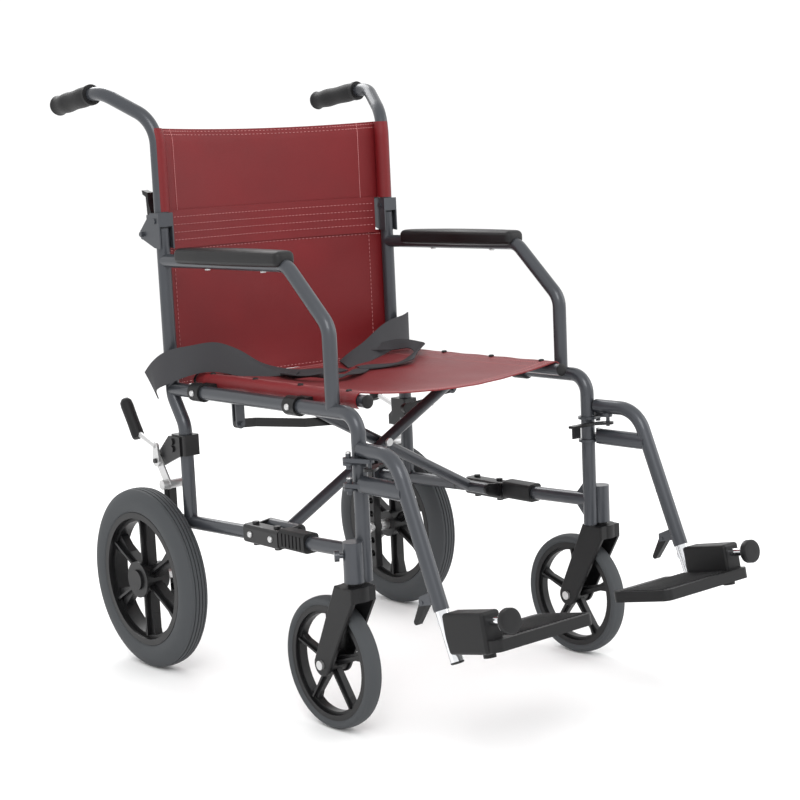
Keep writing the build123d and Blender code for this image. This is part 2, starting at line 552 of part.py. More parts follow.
with BuildPart() as brake_clamp:
    block((FRAME_X - TUBE_R - 5, LEG_Y - TUBE_R - 5, CLAMP_LOW_Z),
          (CHEEK_X, LEG_Y + TUBE_R + 12, CLAMP_HIGH_Z))
    fillet(brake_clamp.edges().filter_by(Axis.Z), 3)
    rod((FRAME_X, LEG_Y, CLAMP_LOW_Z - 1), (FRAME_X, LEG_Y, CLAMP_HIGH_Z + 1), TUBE_R + 0.02, Mode.SUBTRACT)
    x_plate([(LEG_Y - 6, CLAMP_LOW_Z), (LEG_Y - 6, CLAMP_HIGH_Z - 3), (LEG_Y + 26, CLAMP_HIGH_Z - 3),
             (LOCK_Y + 9, LOCK_Z + 8), (LOCK_Y + 9, LOCK_Z - 9), (LOCK_Y - 9, LOCK_Z - 9)],
            CHEEK_X - 1, CHEEK_X + CHEEK_THICK)
    for z in (CLAMP_LOW_Z + 10, CLAMP_HIGH_Z - 12):
        rod((CHEEK_X, LEG_Y + TUBE_R + 5, z),
            (CHEEK_X + CHEEK_THICK + 3, LEG_Y + TUBE_R + 5, z), BOLT_HEAD_R)
    rod((CHEEK_X, LOCK_Y, LOCK_Z), (LEVER_X + LEVER_THICK + 3, LOCK_Y, LOCK_Z), LOCK_PIN_R)
save_pair(brake_clamp.part, "brake_clamp")

with BuildPart() as brake_shoe:
    with BuildSketch(Plane.YZ.offset(ARM_X)) as arm:
        with Locations((LOCK_Y, LOCK_Z), (SHOE_Y, SHOE_Z)):
            Circle(9)
        make_hull()
        with Locations((LOCK_Y, LOCK_Z)):
            Circle(LOCK_PIN_R + RUN_FIT, mode=Mode.SUBTRACT)
    extrude(to_extrude=arm.sketch, amount=ARM_THICK)
    rod((SHOE_IN_X, SHOE_Y, SHOE_Z), (SHOE_OUT_X, SHOE_Y, SHOE_Z), SHOE_R)
save_pair(brake_shoe.part, "brake_shoe")

LEVER_ROD_R = 4.5
LEVER_KNEE = (AXLE_Y - 27.0, 377.0)
GRIP_LOW = (AXLE_Y + 30.0, 396.0)
GRIP_TOP = (AXLE_Y + 57.0, 441.0)
BRAKE_GRIP_R = 10.0

with BuildPart() as brake_lever:
    with BuildSketch(Plane.YZ.offset(LEVER_X)) as lever_plate:
        with Locations((LOCK_Y, LOCK_Z)):
            Circle(10)
        with Locations(LEVER_KNEE):
            Circle(7)
        make_hull()
        with Locations((LOCK_Y, LOCK_Z)):
            Circle(LOCK_PIN_R + RUN_FIT, mode=Mode.SUBTRACT)
    extrude(to_extrude=lever_plate.sketch, amount=LEVER_THICK)
    lever_mid_x = LEVER_X + LEVER_THICK / 2
    rod((lever_mid_x, *LEVER_KNEE), (lever_mid_x, *GRIP_LOW), LEVER_ROD_R)
    rod((lever_mid_x, *GRIP_LOW), (lever_mid_x, *GRIP_TOP), BRAKE_GRIP_R)
    with Locations((lever_mid_x, *GRIP_TOP), (lever_mid_x, *GRIP_LOW)):
        Sphere(BRAKE_GRIP_R)
save_pair(brake_lever.part, "brake_lever")

# ================================================================ casters
FORK_IN = CASTER_W / 2 + 3.0
FORK_OUT = FORK_IN + 6.5
CROWN_LOW_Z = CASTER_D + 5.0
CROWN_HIGH_Z = STEM_LOW_Z - 4.5
FORK_BOSS_R = 18.0
THRUST_R = 10.0
CASTER_AXLE_R = 4.0
CASTER_HUB_R = 15.0
CASTER_SEAT_R = 87.0
CASTER_RIM_R = 74.0

with BuildPart() as caster_fork:
    with BuildSketch(Plane.YZ.offset(STEM_X - FORK_OUT)) as side_shape:
        with Locations((CASTER_Y, CASTER_R)):
            Circle(FORK_BOSS_R)
        with Locations((STEM_Y, (CROWN_LOW_Z + CROWN_HIGH_Z) / 2)):
            Rectangle(2 * FORK_OUT - 4, CROWN_HIGH_Z - CROWN_LOW_Z)
        make_hull()
    extrude(to_extrude=side_shape.sketch, amount=2 * FORK_OUT)
    block((STEM_X - FORK_IN, CASTER_Y - CASTER_D, 0),
          (STEM_X + FORK_IN, CASTER_Y + CASTER_D, CROWN_LOW_Z), Mode.SUBTRACT)
    fillet(caster_fork.faces().sort_by(Axis.X)[0].edges(), 3)
    fillet(caster_fork.faces().sort_by(Axis.X)[-1].edges(), 3)
    rod((STEM_X, STEM_Y, CROWN_LOW_Z), (STEM_X, STEM_Y, CROWN_HIGH_Z), FORK_OUT)
    rod((STEM_X, STEM_Y, CROWN_HIGH_Z - 1), (STEM_X, STEM_Y, STEM_LOW_Z - 1), THRUST_R)
    rod((STEM_X, STEM_Y, CROWN_HIGH_Z), (STEM_X, STEM_Y, STEM_HIGH_Z - STEM_TUBE_R / 2 - 1),
        STEM_BORE_R - RUN_FIT)
    rod((STEM_X - FORK_OUT - 1, CASTER_Y, CASTER_R), (STEM_X + FORK_OUT + 1, CASTER_Y, CASTER_R),
        CASTER_AXLE_R + 0.02, Mode.SUBTRACT)
save_pair(caster_fork.part, "caster_fork")

with BuildPart() as caster_axle:
    rod((STEM_X - FORK_OUT - 4, CASTER_Y, CASTER_R),
        (STEM_X + FORK_OUT + 4, CASTER_Y, CASTER_R), CASTER_AXLE_R)
    for side in (-1, 1):
        rod((STEM_X + side * FORK_OUT, CASTER_Y, CASTER_R),
            (STEM_X + side * (FORK_OUT + BOLT_HEAD_H), CASTER_Y, CASTER_R), BOLT_HEAD_R + 1.5)
save_pair(caster_axle.part, "caster_axle")

tyre(STEM_X, CASTER_Y, CASTER_R, CASTER_SEAT_R, CASTER_W, (), "caster_tyre")

with BuildPart() as caster_wheel:
    ring_between(STEM_X, CASTER_Y, CASTER_R, CASTER_RIM_R + 5, CASTER_SEAT_R, STEM_X - 11, STEM_X + 11)
    ring_between(STEM_X, CASTER_Y, CASTER_R, CASTER_RIM_R, CASTER_RIM_R + 6, STEM_X - 6, STEM_X + 6)
    ring_between(STEM_X, CASTER_Y, CASTER_R, CASTER_AXLE_R + RUN_FIT, CASTER_HUB_R,
                 STEM_X - FORK_IN + 1, STEM_X + FORK_IN - 1)
    for first in range(5):
        angle = radians(90 + first * 72)
        spoke_plane = Plane(origin=(STEM_X, CASTER_Y, CASTER_R), x_dir=(0, cos(angle), sin(angle)),
                            z_dir=(1, 0, 0))
        with BuildSketch(spoke_plane) as spoke:
            with BuildLine():
                Polyline((CASTER_HUB_R - 3, -7), (CASTER_RIM_R - 14, -5), (CASTER_RIM_R + 2, -9),
                         (CASTER_RIM_R + 2, 9), (CASTER_RIM_R - 14, 5), (CASTER_HUB_R - 3, 7), close=True)
            make_face()
        extrude(to_extrude=spoke.sketch, amount=4.5, both=True)
        with BuildSketch(spoke_plane) as ridge:
            with BuildLine():
                Polyline((CASTER_HUB_R - 3, -1.5), (CASTER_RIM_R + 2, -1.5), (CASTER_RIM_R + 2, 1.5),
                         (CASTER_HUB_R - 3, 1.5), close=True)
            make_face()
        extrude(to_extrude=ridge.sketch, amount=9, both=True)
save_pair(caster_wheel.part, "caster_wheel")

# ================================================================ folding back
CANE_TURN_Z = 905.0       # corner where the cane turns back to its handle
HANDLE_X = 280.0
HANDLE_Y = AXLE_Y + 36.0
HANDLE_TURN_Z = 957.6
CANE_BEND_R = 60.0
GRIP_START_Y = AXLE_Y + 64.0
GRIP_TAPER_X = 5.4        # the handle's axis runs in and down over its length
GRIP_TAPER_Z = 15.6
GRIP_BORE_R = TUBE_R + 0.05
GRIP_WALL_END = 6.0
PLATE_IN = 0.5            # air between the hinge plates and the post
HINGE_PLATE = 2.5
HINGE_TOP_Z = BACK_SPLIT_Z + 24.0
HINGE_FOOT_Z = BACK_SPLIT_Z - 34.0
HINGE_WEB_Z = BACK_SPLIT_Z + 2.0
RIVET_Z = BACK_SPLIT_Z + 11.0
RELEASE_Y = POST_Y + 24.0
RELEASE_Z = BACK_SPLIT_Z + 14.0
RELEASE_PIN_R = 2.5
RELEASE_HALF = 6.0
RELEASE_EAR = 2.5

handle_run = Vector(-GRIP_TAPER_X, GRIP_END_Y - (HANDLE_Y - AXLE_Y), -GRIP_TAPER_Z)
handle_dir = handle_run.normalized()
handle_corner = Vector(HANDLE_X, HANDLE_Y, HANDLE_TURN_Z)
grip_start = handle_corner + handle_dir * ((GRIP_START_Y - HANDLE_Y) / handle_dir.Y)
grip_end = handle_corner + handle_run
grip_length = (grip_end - grip_start).length
cane_end = grip_start + handle_dir * (grip_length - GRIP_WALL_END - GAP)

with BuildPart() as back_cane:
    tube([(FRAME_X, POST_Y, BACK_SPLIT_Z + 1), (FRAME_X, POST_Y, CANE_TURN_Z),
          tuple(handle_corner), tuple(cane_end)], CANE_BEND_R, TUBE_R)
    # saddle round the cane's foot, with one plate each side of the post below it
    block((FRAME_X - TUBE_R - PLATE_IN - HINGE_PLATE, POST_Y - TUBE_R - 1.5, HINGE_WEB_Z),
          (FRAME_X + TUBE_R + PLATE_IN + HINGE_PLATE, POST_Y + TUBE_R + 1.5, HINGE_TOP_Z))
    for side in (-1, 1):
        plate_x = FRAME_X + side * (TUBE_R + PLATE_IN + HINGE_PLATE / 2)
        x_plate([(POST_Y - TUBE_R - 1.5, HINGE_TOP_Z), (POST_Y + TUBE_R + 1.5, HINGE_TOP_Z),
                 (BACK_PIVOT_Y + 3, BACK_PIVOT_Z + HINGE_EAR_R), (BACK_PIVOT_Y, BACK_PIVOT_Z - HINGE_EAR_R),
                 (POST_Y + 4, HINGE_FOOT_Z + 2), (POST_Y - TUBE_R - 1.5, HINGE_FOOT_Z)],
                plate_x - HINGE_PLATE / 2, plate_x + HINGE_PLATE / 2)
        rod((plate_x - HINGE_PLATE / 2, BACK_PIVOT_Y, BACK_PIVOT_Z),
            (plate_x + HINGE_PLATE / 2, BACK_PIVOT_Y, BACK_PIVOT_Z), HINGE_EAR_R)
        ear_x = FRAME_X + side * (RELEASE_HALF + GAP + RELEASE_EAR / 2)
        block((ear_x - RELEASE_EAR / 2, POST_Y, RELEASE_Z - 7),
              (ear_x + RELEASE_EAR / 2, RELEASE_Y + 7, RELEASE_Z + 7))
    rod((FRAME_X - TUBE_R - 12, BACK_PIVOT_Y, BACK_PIVOT_Z),
        (FRAME_X + TUBE_R + 12, BACK_PIVOT_Y, BACK_PIVOT_Z), BACK_PIN_R + RUN_FIT, Mode.SUBTRACT)
    rod((FRAME_X - TUBE_R - 5, POST_Y, RIVET_Z), (FRAME_X + TUBE_R + 5, POST_Y, RIVET_Z), BOLT_HEAD_R - 1)
    rod((FRAME_X - 9, RELEASE_Y, RELEASE_Z), (FRAME_X + 9, RELEASE_Y, RELEASE_Z), RELEASE_PIN_R)
save_pair(back_cane.part, "back_cane")

grip_plane = Plane(origin=grip_start, x_dir=handle_dir, z_dir=Vector(1, 0, 0).cross(handle_dir))

with BuildPart() as hand_grip:
    with BuildSketch(grip_plane):
        with BuildLine():
            Polyline((10, GRIP_R - 1.5), (7, GRIP_R + 0.5), (0, GRIP_R + 0.5), (0, GRIP_BORE_R),
                     (grip_length - GRIP_WALL_END, GRIP_BORE_R), (grip_length - GRIP_WALL_END, 0),
                     (grip_length, 0), (grip_length, GRIP_R - 1), (grip_length - 4, GRIP_R + 0.5))
            Spline((10, GRIP_R - 1.5), (grip_length * 0.27, GRIP_R), (grip_length * 0.5, GRIP_R - 1),
                   (grip_length * 0.74, GRIP_R), (grip_length * 0.9, GRIP_R - 1.2),
                   (grip_length - 4, GRIP_R + 0.5))
        make_face()
    revolve(axis=Axis(grip_start, handle_dir))
save_pair(hand_grip.part, "hand_grip")

with BuildPart() as back_release:
    x_plate([(RELEASE_Y - 5, RELEASE_Z + 5), (RELEASE_Y + 3, RELEASE_Z + 26),
             (RELEASE_Y + 4, RELEASE_Z + 43), (RELEASE_Y + 21, RELEASE_Z + 47),
             (RELEASE_Y + 19, RELEASE_Z + 40), (RELEASE_Y + 10, RELEASE_Z + 36),
             (RELEASE_Y + 8, RELEASE_Z + 4), (RELEASE_Y + 18, RELEASE_Z - 8),
             (RELEASE_Y + 15, RELEASE_Z - 13), (RELEASE_Y + 8, RELEASE_Z - 8),
             (RELEASE_Y - 3, RELEASE_Z - 6)],
            FRAME_X - RELEASE_HALF, FRAME_X + RELEASE_HALF)
    rod((FRAME_X - RELEASE_HALF - 1, RELEASE_Y, RELEASE_Z),
        (FRAME_X + RELEASE_HALF + 1, RELEASE_Y, RELEASE_Z), RELEASE_PIN_R + RUN_FIT, Mode.SUBTRACT)
save_pair(back_release.part, "back_release")

# ================================================================ leg rests
HANGER_X = 248.5
TOP_TUBE_Z = LUG_Z[1] + 21.0
TOP_TUBE_Y = STEM_Y - 11.5
HANGER_BEND_Y = AXLE_Y - 634.0
HANGER_BEND_R = 50.0
HANGER_END_Y = AXLE_Y - 719.5
HANGER_END_Z = 219.0
HANGER_BRACE_R = 12.7
HANGER_BRACE_Y = STEM_Y - 17.0
HANGER_BRACE_Z = LUG_Z[0] + 8.5
EYE_THICK = 4.0
EYE_LIFT = 1.0
EXT_BORE = 126.0          # depth of the hanger's bore
EXT_INSIDE = 120.0        # tube held inside the hanger when fully up
EXT_BELOW = 72.6          # tube below the hanger when fully up
EXT_R = 9.5
LATCH_PIVOT = (246.0, STEM_Y - 33.0)
LATCH_LOW_Z = LUG_Z[1] - 7.0
LATCH_THICK = 4.0
LATCH_PIN_R = 3.0
HOLE_DROPS = (66.0, 49.0, 31.0)
CAM_Y = AXLE_Y - 687.0
CAM_Z = 225.5
CAM_PIN_R = 3.0
CAM_HALF = 5.0
CAM_EAR = 2.5

slant = Vector(0, HANGER_END_Y - HANGER_BEND_Y, HANGER_END_Z - TOP_TUBE_Z).normalized()
slant_back = Vector(0, -slant.Z, slant.Y)
hanger_end = Vector(HANGER_X, HANGER_END_Y, HANGER_END_Z)
latch_z = (LATCH_LOW_Z, LATCH_LOW_Z + LATCH_THICK)

with BuildPart() as hanger:
    tube([(HANGER_X - 5, TOP_TUBE_Y, TOP_TUBE_Z), (HANGER_X, HANGER_BEND_Y, TOP_TUBE_Z),
          tuple(hanger_end)], HANGER_BEND_R, TUBE_R)
    rod((HANGER_X - 3, HANGER_BRACE_Y, HANGER_BRACE_Z), (HANGER_X, HANGER_BEND_Y - 21, HANGER_BRACE_Z),
        HANGER_BRACE_R)
    for z in LUG_Z:
        with BuildSketch(Plane.XY.offset(z + LUG_THICK + EYE_LIFT)) as eye:
            with Locations((STEM_X, STEM_Y)):
                Circle(LUG_EAR_R)
            with Locations((HANGER_X - 2, STEM_Y - 31)):
                Circle(LUG_EAR_R)
            make_hull()
        extrude(to_extrude=eye.sketch, amount=EYE_THICK + 2)
    rod((STEM_X, STEM_Y, LUG_Z[0]), (STEM_X, STEM_Y, LUG_Z[1] + 30), PIN_R + RUN_FIT, Mode.SUBTRACT)
    rod((*LATCH_PIVOT, latch_z[0] - 3), (*LATCH_PIVOT, TOP_TUBE_Z - TUBE_R + 3), LATCH_PIN_R)
    # ears of the clamp lever
    for side in (-1, 1):
        ear_x = HANGER_X + side * (CAM_HALF + GAP + CAM_EAR / 2)
        x_plate([(CAM_Y - 22, CAM_Z + 20), (CAM_Y + 6, CAM_Z + 7), (CAM_Y + 6, CAM_Z - 6),
                 (CAM_Y - 34, CAM_Z + 4)], ear_x - CAM_EAR / 2, ear_x + CAM_EAR / 2)
    rod((HANGER_X - 9, CAM_Y, CAM_Z), (HANGER_X + 9, CAM_Y, CAM_Z), CAM_PIN_R)
    bore_top = hanger_end - slant * EXT_BORE
    rod(tuple(bore_top), tuple(hanger_end + slant * 10), EXT_R + SLIDE_FIT, Mode.SUBTRACT)
    for drop in HOLE_DROPS:
        hole = hanger_end - slant * (drop / -slant.Z)
        rod(tuple(hole), tuple(hole + slant_back * 20), 3.2, Mode.SUBTRACT)
save_pair(hanger.part, "hanger")

with BuildPart() as hanger_latch:
    with BuildSketch(Plane.XY.offset(latch_z[0])) as latch:
        with Locations(LATCH_PIVOT):
            Circle(9)
        with BuildLine():
            Polyline((250, STEM_Y - 26), (226, STEM_Y - 13.5), (177, STEM_Y - 12.5), (177, STEM_Y - 23.5),
                     (222, STEM_Y - 25), (240, STEM_Y - 40), close=True)
        make_face()
        with Locations(LATCH_PIVOT):
            Circle(LATCH_PIN_R + RUN_FIT, mode=Mode.SUBTRACT)
    extrude(to_extrude=latch.sketch, amount=LATCH_THICK)
    block((177, STEM_Y - 23.5, latch_z[0] - 16), (193, STEM_Y - 19.5, latch_z[1]))
save_pair(hanger_latch.part, "hanger_latch")

with BuildPart() as cam_lever:
    with BuildSketch(Plane.YZ.offset(HANGER_X - CAM_HALF)) as cam:
        with Locations((CAM_Y, CAM_Z)):
            Circle(7)
        with Locations((CAM_Y + 18, CAM_Z - 32)):
            Circle(4)
        make_hull()
        with Locations((CAM_Y, CAM_Z)):
            Circle(CAM_PIN_R + RUN_FIT, mode=Mode.SUBTRACT)
    extrude(to_extrude=cam.sketch, amount=2 * CAM_HALF)
save_pair(cam_lever.part, "cam_lever")

FOOT_ROD_R = 6.0
FOOT_ROD_Y = AXLE_Y - 725.0
FOOT_ROD_Z = 204.0
FOOT_HUB_HALF = 17.0
FOOT_HUB_UP = 14.0
FOOT_HUB_DOWN = 43.0
FOOT_HUB_REAR = 13.2
FOOT_HUB_FRONT = 97.0
FOOT_TURN_GAP = 2.0       # air between the sliding tube and the turning plate
PLATE_TOP = 24.5          # foot plate's top below the rod's axis
PLATE_THICK = 16.0
PLATE_IN_X = 76.0
PLATE_OUT_X = 262.0
PLATE_LONG = 113.0
PLATE_NOTCH = 50.0

foot_plane = Plane(origin=(HANGER_X, FOOT_ROD_Y, FOOT_ROD_Z), x_dir=(1, 0, 0),
                   z_dir=(0, sin(radians(FOOT_TILT)), cos(radians(FOOT_TILT))))
foot_origin = Vector(HANGER_X, FOOT_ROD_Y, FOOT_ROD_Z)
foot_ahead = Vector(0, -cos(radians(FOOT_TILT)), sin(radians(FOOT_TILT)))
knob_centre = foot_origin + foot_ahead * ((FOOT_END_Y - (AXLE_Y - FOOT_ROD_Y)) / cos(radians(FOOT_TILT)))

with BuildPart() as leg_extension:
    rod(tuple(hanger_end - slant * EXT_INSIDE), tuple(hanger_end + slant * EXT_BELOW), EXT_R)
    rod(tuple(foot_origin - foot_ahead * 30), tuple(foot_origin + foot_ahead * 30), FOOT_ROD_R + RUN_FIT,
        Mode.SUBTRACT)
save_pair(leg_extension.part, "leg_extension")

with BuildPart() as footplate_rod:
    rod(tuple(foot_origin - foot_ahead * EXT_R), tuple(knob_centre), FOOT_ROD_R)
    rod(tuple(knob_centre - foot_ahead * KNOB_THICK / 2),
        tuple(knob_centre + foot_ahead * KNOB_THICK / 2), KNOB_R)
    fillet(footplate_rod.edges().filter_by(GeomType.CIRCLE).sort_by(Axis.Y)[0], 2)
save_pair(footplate_rod.part, "footplate_rod")

with BuildPart() as footplate:
    with BuildSketch(foot_plane.offset(-FOOT_HUB_DOWN)) as hub:
        with Locations((0, -(FOOT_HUB_REAR + FOOT_HUB_FRONT) / 2)):
            Rectangle(2 * FOOT_HUB_HALF, FOOT_HUB_FRONT - FOOT_HUB_REAR)
    extrude(to_extrude=hub.sketch, amount=FOOT_HUB_DOWN + FOOT_HUB_UP)
    fillet(footplate.edges(), 5)
    with BuildSketch(foot_plane.offset(-PLATE_TOP - PLATE_THICK)) as plate:
        with Locations(((PLATE_IN_X + PLATE_OUT_X) / 2 - HANGER_X, -PLATE_LONG / 2)):
            RectangleRounded(PLATE_OUT_X - PLATE_IN_X, PLATE_LONG, 12)
        with Locations((-PLATE_NOTCH / 2 + 15, -1)):
            Rectangle(PLATE_NOTCH + 30, 22, mode=Mode.SUBTRACT)
    extrude(to_extrude=plate.sketch, amount=PLATE_THICK)
    # adjusting lump under the plate
    with BuildSketch(foot_plane.offset(-FOOT_HUB_DOWN - 6)) as lump:
        with Locations((0, -FOOT_HUB_FRONT + 16)):
            Circle(9)
    extrude(to_extrude=lump.sketch, amount=10)
    # relief parallel to the sliding tube
    tube_run = HANGER_END_Y - HANGER_BEND_Y
    tube_fall = TOP_TUBE_Z - HANGER_END_Z
    face_shift = (EXT_R + FOOT_TURN_GAP) / slant.Z
    relief = []
    for z, shift in ((250.0, face_shift), (110.0, face_shift), (110.0, 60.0), (250.0, 60.0)):
        axis_y = HANGER_END_Y + (HANGER_END_Z - z) * tube_run / tube_fall
        relief.append((axis_y + shift, z))
    x_plate(relief, HANGER_X - FOOT_HUB_HALF - 3, HANGER_X + FOOT_HUB_HALF + 3, Mode.SUBTRACT)
    rod(tuple(foot_origin - foot_ahead * 5), tuple(foot_origin + foot_ahead * 140), FOOT_ROD_R + RUN_FIT,
        Mode.SUBTRACT)
save_pair(footplate.part, "footplate")

# ================================================================ upholstery
CLOTH = 2.5
SEAT_SAG = 22.0
SEAT_CLOTH_FRONT_Y = FRONT_Y + 34.0
SEAT_CLOTH_REAR_Y = SEAT_RAIL_REAR_Y - 10.0
LOWER_CLOTH_LOW_Z = SEAT_RAIL_Z + 5.0
LOWER_CLOTH_TOP_Z = BACK_SPLIT_Z - 32.0
UPPER_CLOTH_LOW_Z = LOWER_CLOTH_TOP_Z + 2.0
SLEEVE_LOW_Z = HINGE_TOP_Z + 2.0
SLEEVE_TOP_Z = BACK_TOP_Z - 27.0
CLOTH_SAG = 25.0


def cloth_arc(half_width, edge_level, sag, thick):
    """Draw a sagging band's section, in a plane whose first axis is X."""
    with BuildLine() as band:
        ThreePointArc((-half_width, edge_level), (0, edge_level + sag), (half_width, edge_level))
        Line((half_width, edge_level), (half_width, edge_level + thick))
        ThreePointArc((half_width, edge_level + thick), (0, edge_level + sag + thick),
                      (-half_width, edge_level + thick))
        Line((-half_width, edge_level + thick), (-half_width, edge_level))
    make_face(edges=band.edges())


with BuildPart() as seat_sling:
    under_r = RAIL_R + SOFT_GAP
    over_r = under_r + CLOTH
    end_rise = radians(15)
    with BuildSketch(Plane.XZ.offset(-SEAT_CLOTH_REAR_Y)) as seat_section:
        cloth_arc(BRACE_HALF_X, SEAT_RAIL_Z + under_r, -SEAT_SAG, CLOTH)
        for side in (-1, 1):
            mid_rise = (end_rise + pi / 2) / 2
            with BuildLine():
                ThreePointArc(*[(side * (BRACE_HALF_X + under_r * cos(a)), SEAT_RAIL_Z + under_r * sin(a))
                                for a in (pi / 2, mid_rise, end_rise)])
                Line((side * (BRACE_HALF_X + under_r * cos(end_rise)),
                      SEAT_RAIL_Z + under_r * sin(end_rise)),
                     (side * (BRACE_HALF_X + over_r * cos(end_rise)), SEAT_RAIL_Z + over_r * sin(end_rise)))
                ThreePointArc(*[(side * (BRACE_HALF_X + over_r * cos(a)), SEAT_RAIL_Z + over_r * sin(a))
                                for a in (end_rise, mid_rise, pi / 2)])
                Line((side * BRACE_HALF_X, SEAT_RAIL_Z + over_r),
                     (side * BRACE_HALF_X, SEAT_RAIL_Z + under_r))
            make_face()
    extrude(to_extrude=seat_section.sketch, amount=SEAT_CLOTH_REAR_Y - SEAT_CLOTH_FRONT_Y)
save(seat_sling.part, "seat_sling")

with BuildPart() as back_sling_lower:
    with BuildSketch(Plane.XY.offset(LOWER_CLOTH_LOW_Z)) as lower_section:
        cloth_arc(FRAME_X, POST_Y + TUBE_R + SOFT_GAP, CLOTH_SAG, CLOTH)
    extrude(to_extrude=lower_section.sketch, amount=LOWER_CLOTH_TOP_Z - LOWER_CLOTH_LOW_Z)
save(back_sling_lower.part, "back_sling_lower")

with BuildPart() as back_sling_upper:
    sleeve_in = TUBE_R + SOFT_GAP
    with BuildSketch(Plane.XY.offset(SLEEVE_LOW_Z)) as sleeves:
        with Locations((-FRAME_X, POST_Y), (FRAME_X, POST_Y)):
            Circle(sleeve_in + CLOTH)
        cloth_arc(FRAME_X - 9.5, POST_Y + 8.5, CLOTH_SAG + 3, CLOTH)
        with Locations((-FRAME_X, POST_Y), (FRAME_X, POST_Y)):
            Circle(sleeve_in, mode=Mode.SUBTRACT)
    extrude(to_extrude=sleeves.sketch, amount=SLEEVE_TOP_Z - SLEEVE_LOW_Z)
    with BuildSketch(Plane.XY.offset(UPPER_CLOTH_LOW_Z)) as panel:
        cloth_arc(FRAME_X - 9.5, POST_Y + 8.5, CLOTH_SAG + 3, CLOTH)
        with Locations((0, POST_Y)):
            Rectangle(2 * FRAME_X - 42, 200, mode=Mode.INTERSECT)
    extrude(to_extrude=panel.sketch, amount=BACK_TOP_Z - UPPER_CLOTH_LOW_Z)
save(back_sling_upper.part, "back_sling_upper")

BELT_IN_X = 60.0
BELT_OUT_X = 186.0
BELT_W = 38.0
BELT_THICK = 2.0
BELT_REAR_Y = SEAT_CLOTH_REAR_Y - 45.0

sag_r = (BRACE_HALF_X ** 2 + SEAT_SAG ** 2) / (2 * SEAT_SAG)
seat_low_z = SEAT_RAIL_Z + over_r - SEAT_SAG

with BuildPart() as belt:
    belt_z = [seat_low_z + x ** 2 / (2 * sag_r) + SOFT_GAP for x in (BELT_IN_X, BELT_OUT_X)]
    with BuildSketch(Plane.XZ.offset(-BELT_REAR_Y)) as belt_section:
        with BuildLine():
            Polyline((BELT_IN_X, belt_z[0]), (BELT_OUT_X, belt_z[1]), (BELT_OUT_X, belt_z[1] + BELT_THICK),
                     (BELT_IN_X, belt_z[0] + BELT_THICK), close=True)
        make_face()
    extrude(to_extrude=belt_section.sketch, amount=BELT_W)
save_pair(belt.part, "belt")
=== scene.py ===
from math import ceil, cos, pi, radians, sin, sqrt

import bpy
from bpy.props import FloatProperty, FloatVectorProperty, PointerProperty
from mathutils import Matrix, Vector, noise


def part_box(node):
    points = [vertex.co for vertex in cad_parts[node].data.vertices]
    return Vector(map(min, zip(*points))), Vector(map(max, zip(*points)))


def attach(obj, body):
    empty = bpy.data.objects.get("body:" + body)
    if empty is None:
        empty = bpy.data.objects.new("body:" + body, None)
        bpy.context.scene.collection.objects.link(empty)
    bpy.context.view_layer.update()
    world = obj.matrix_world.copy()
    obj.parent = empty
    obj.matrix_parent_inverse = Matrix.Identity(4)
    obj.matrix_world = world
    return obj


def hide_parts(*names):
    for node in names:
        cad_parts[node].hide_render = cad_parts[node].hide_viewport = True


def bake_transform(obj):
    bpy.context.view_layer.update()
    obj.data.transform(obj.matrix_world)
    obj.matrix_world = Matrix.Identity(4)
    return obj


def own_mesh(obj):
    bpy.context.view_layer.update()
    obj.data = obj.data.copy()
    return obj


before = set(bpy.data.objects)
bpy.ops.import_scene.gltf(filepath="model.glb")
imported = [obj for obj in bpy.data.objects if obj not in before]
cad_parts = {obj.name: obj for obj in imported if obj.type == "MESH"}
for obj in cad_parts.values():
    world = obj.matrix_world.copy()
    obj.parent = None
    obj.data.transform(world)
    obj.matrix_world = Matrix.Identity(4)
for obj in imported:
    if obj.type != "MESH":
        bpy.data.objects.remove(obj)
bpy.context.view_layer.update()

bl_info = {
    "name": "Transport wheelchair looks",
    "version": (1, 0, 0),
    "blender": (4, 5, 0),
    "location": "View3D > Sidebar > Wheelchair",
    "description": "Upholstery, small trim, materials and stage for a folding wheelchair",
    "category": "Object",
}

SIDES = (("left", 1), ("right", -1))

# metres
AXLE_Y = (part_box("rear_tyre_left")[0].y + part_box("rear_tyre_left")[1].y) / 2
FRAME_X = 0.236               # middle plane of a side frame
POST = (FRAME_X, AXLE_Y - 0.054)
TUBE_R = 0.0111
RAIL_R = 0.0095
ARM_TUBE_Z = 0.683
SEAT_TUBE_Z = 0.473
SLEEVE_LOW_Z = 0.7615         # bottom of the upper back's sleeves
SKIRT_HIGH_Z = 0.7625
SKIRT_LENGTH = 0.0625
LOWER_DROP = 0.016            # lower back below its stand-in
STITCH_RISE = 0.0022
CANE_TURN_Z = 0.8688          # where the cane starts to lean
CANE_BEND_R = 0.06
LEG_X = 0.2485                # middle plane of a hanger
FOOT_TILT = 11                # degrees
FOOT_ROD_Z = 0.204
LEVER_X = 0.2591


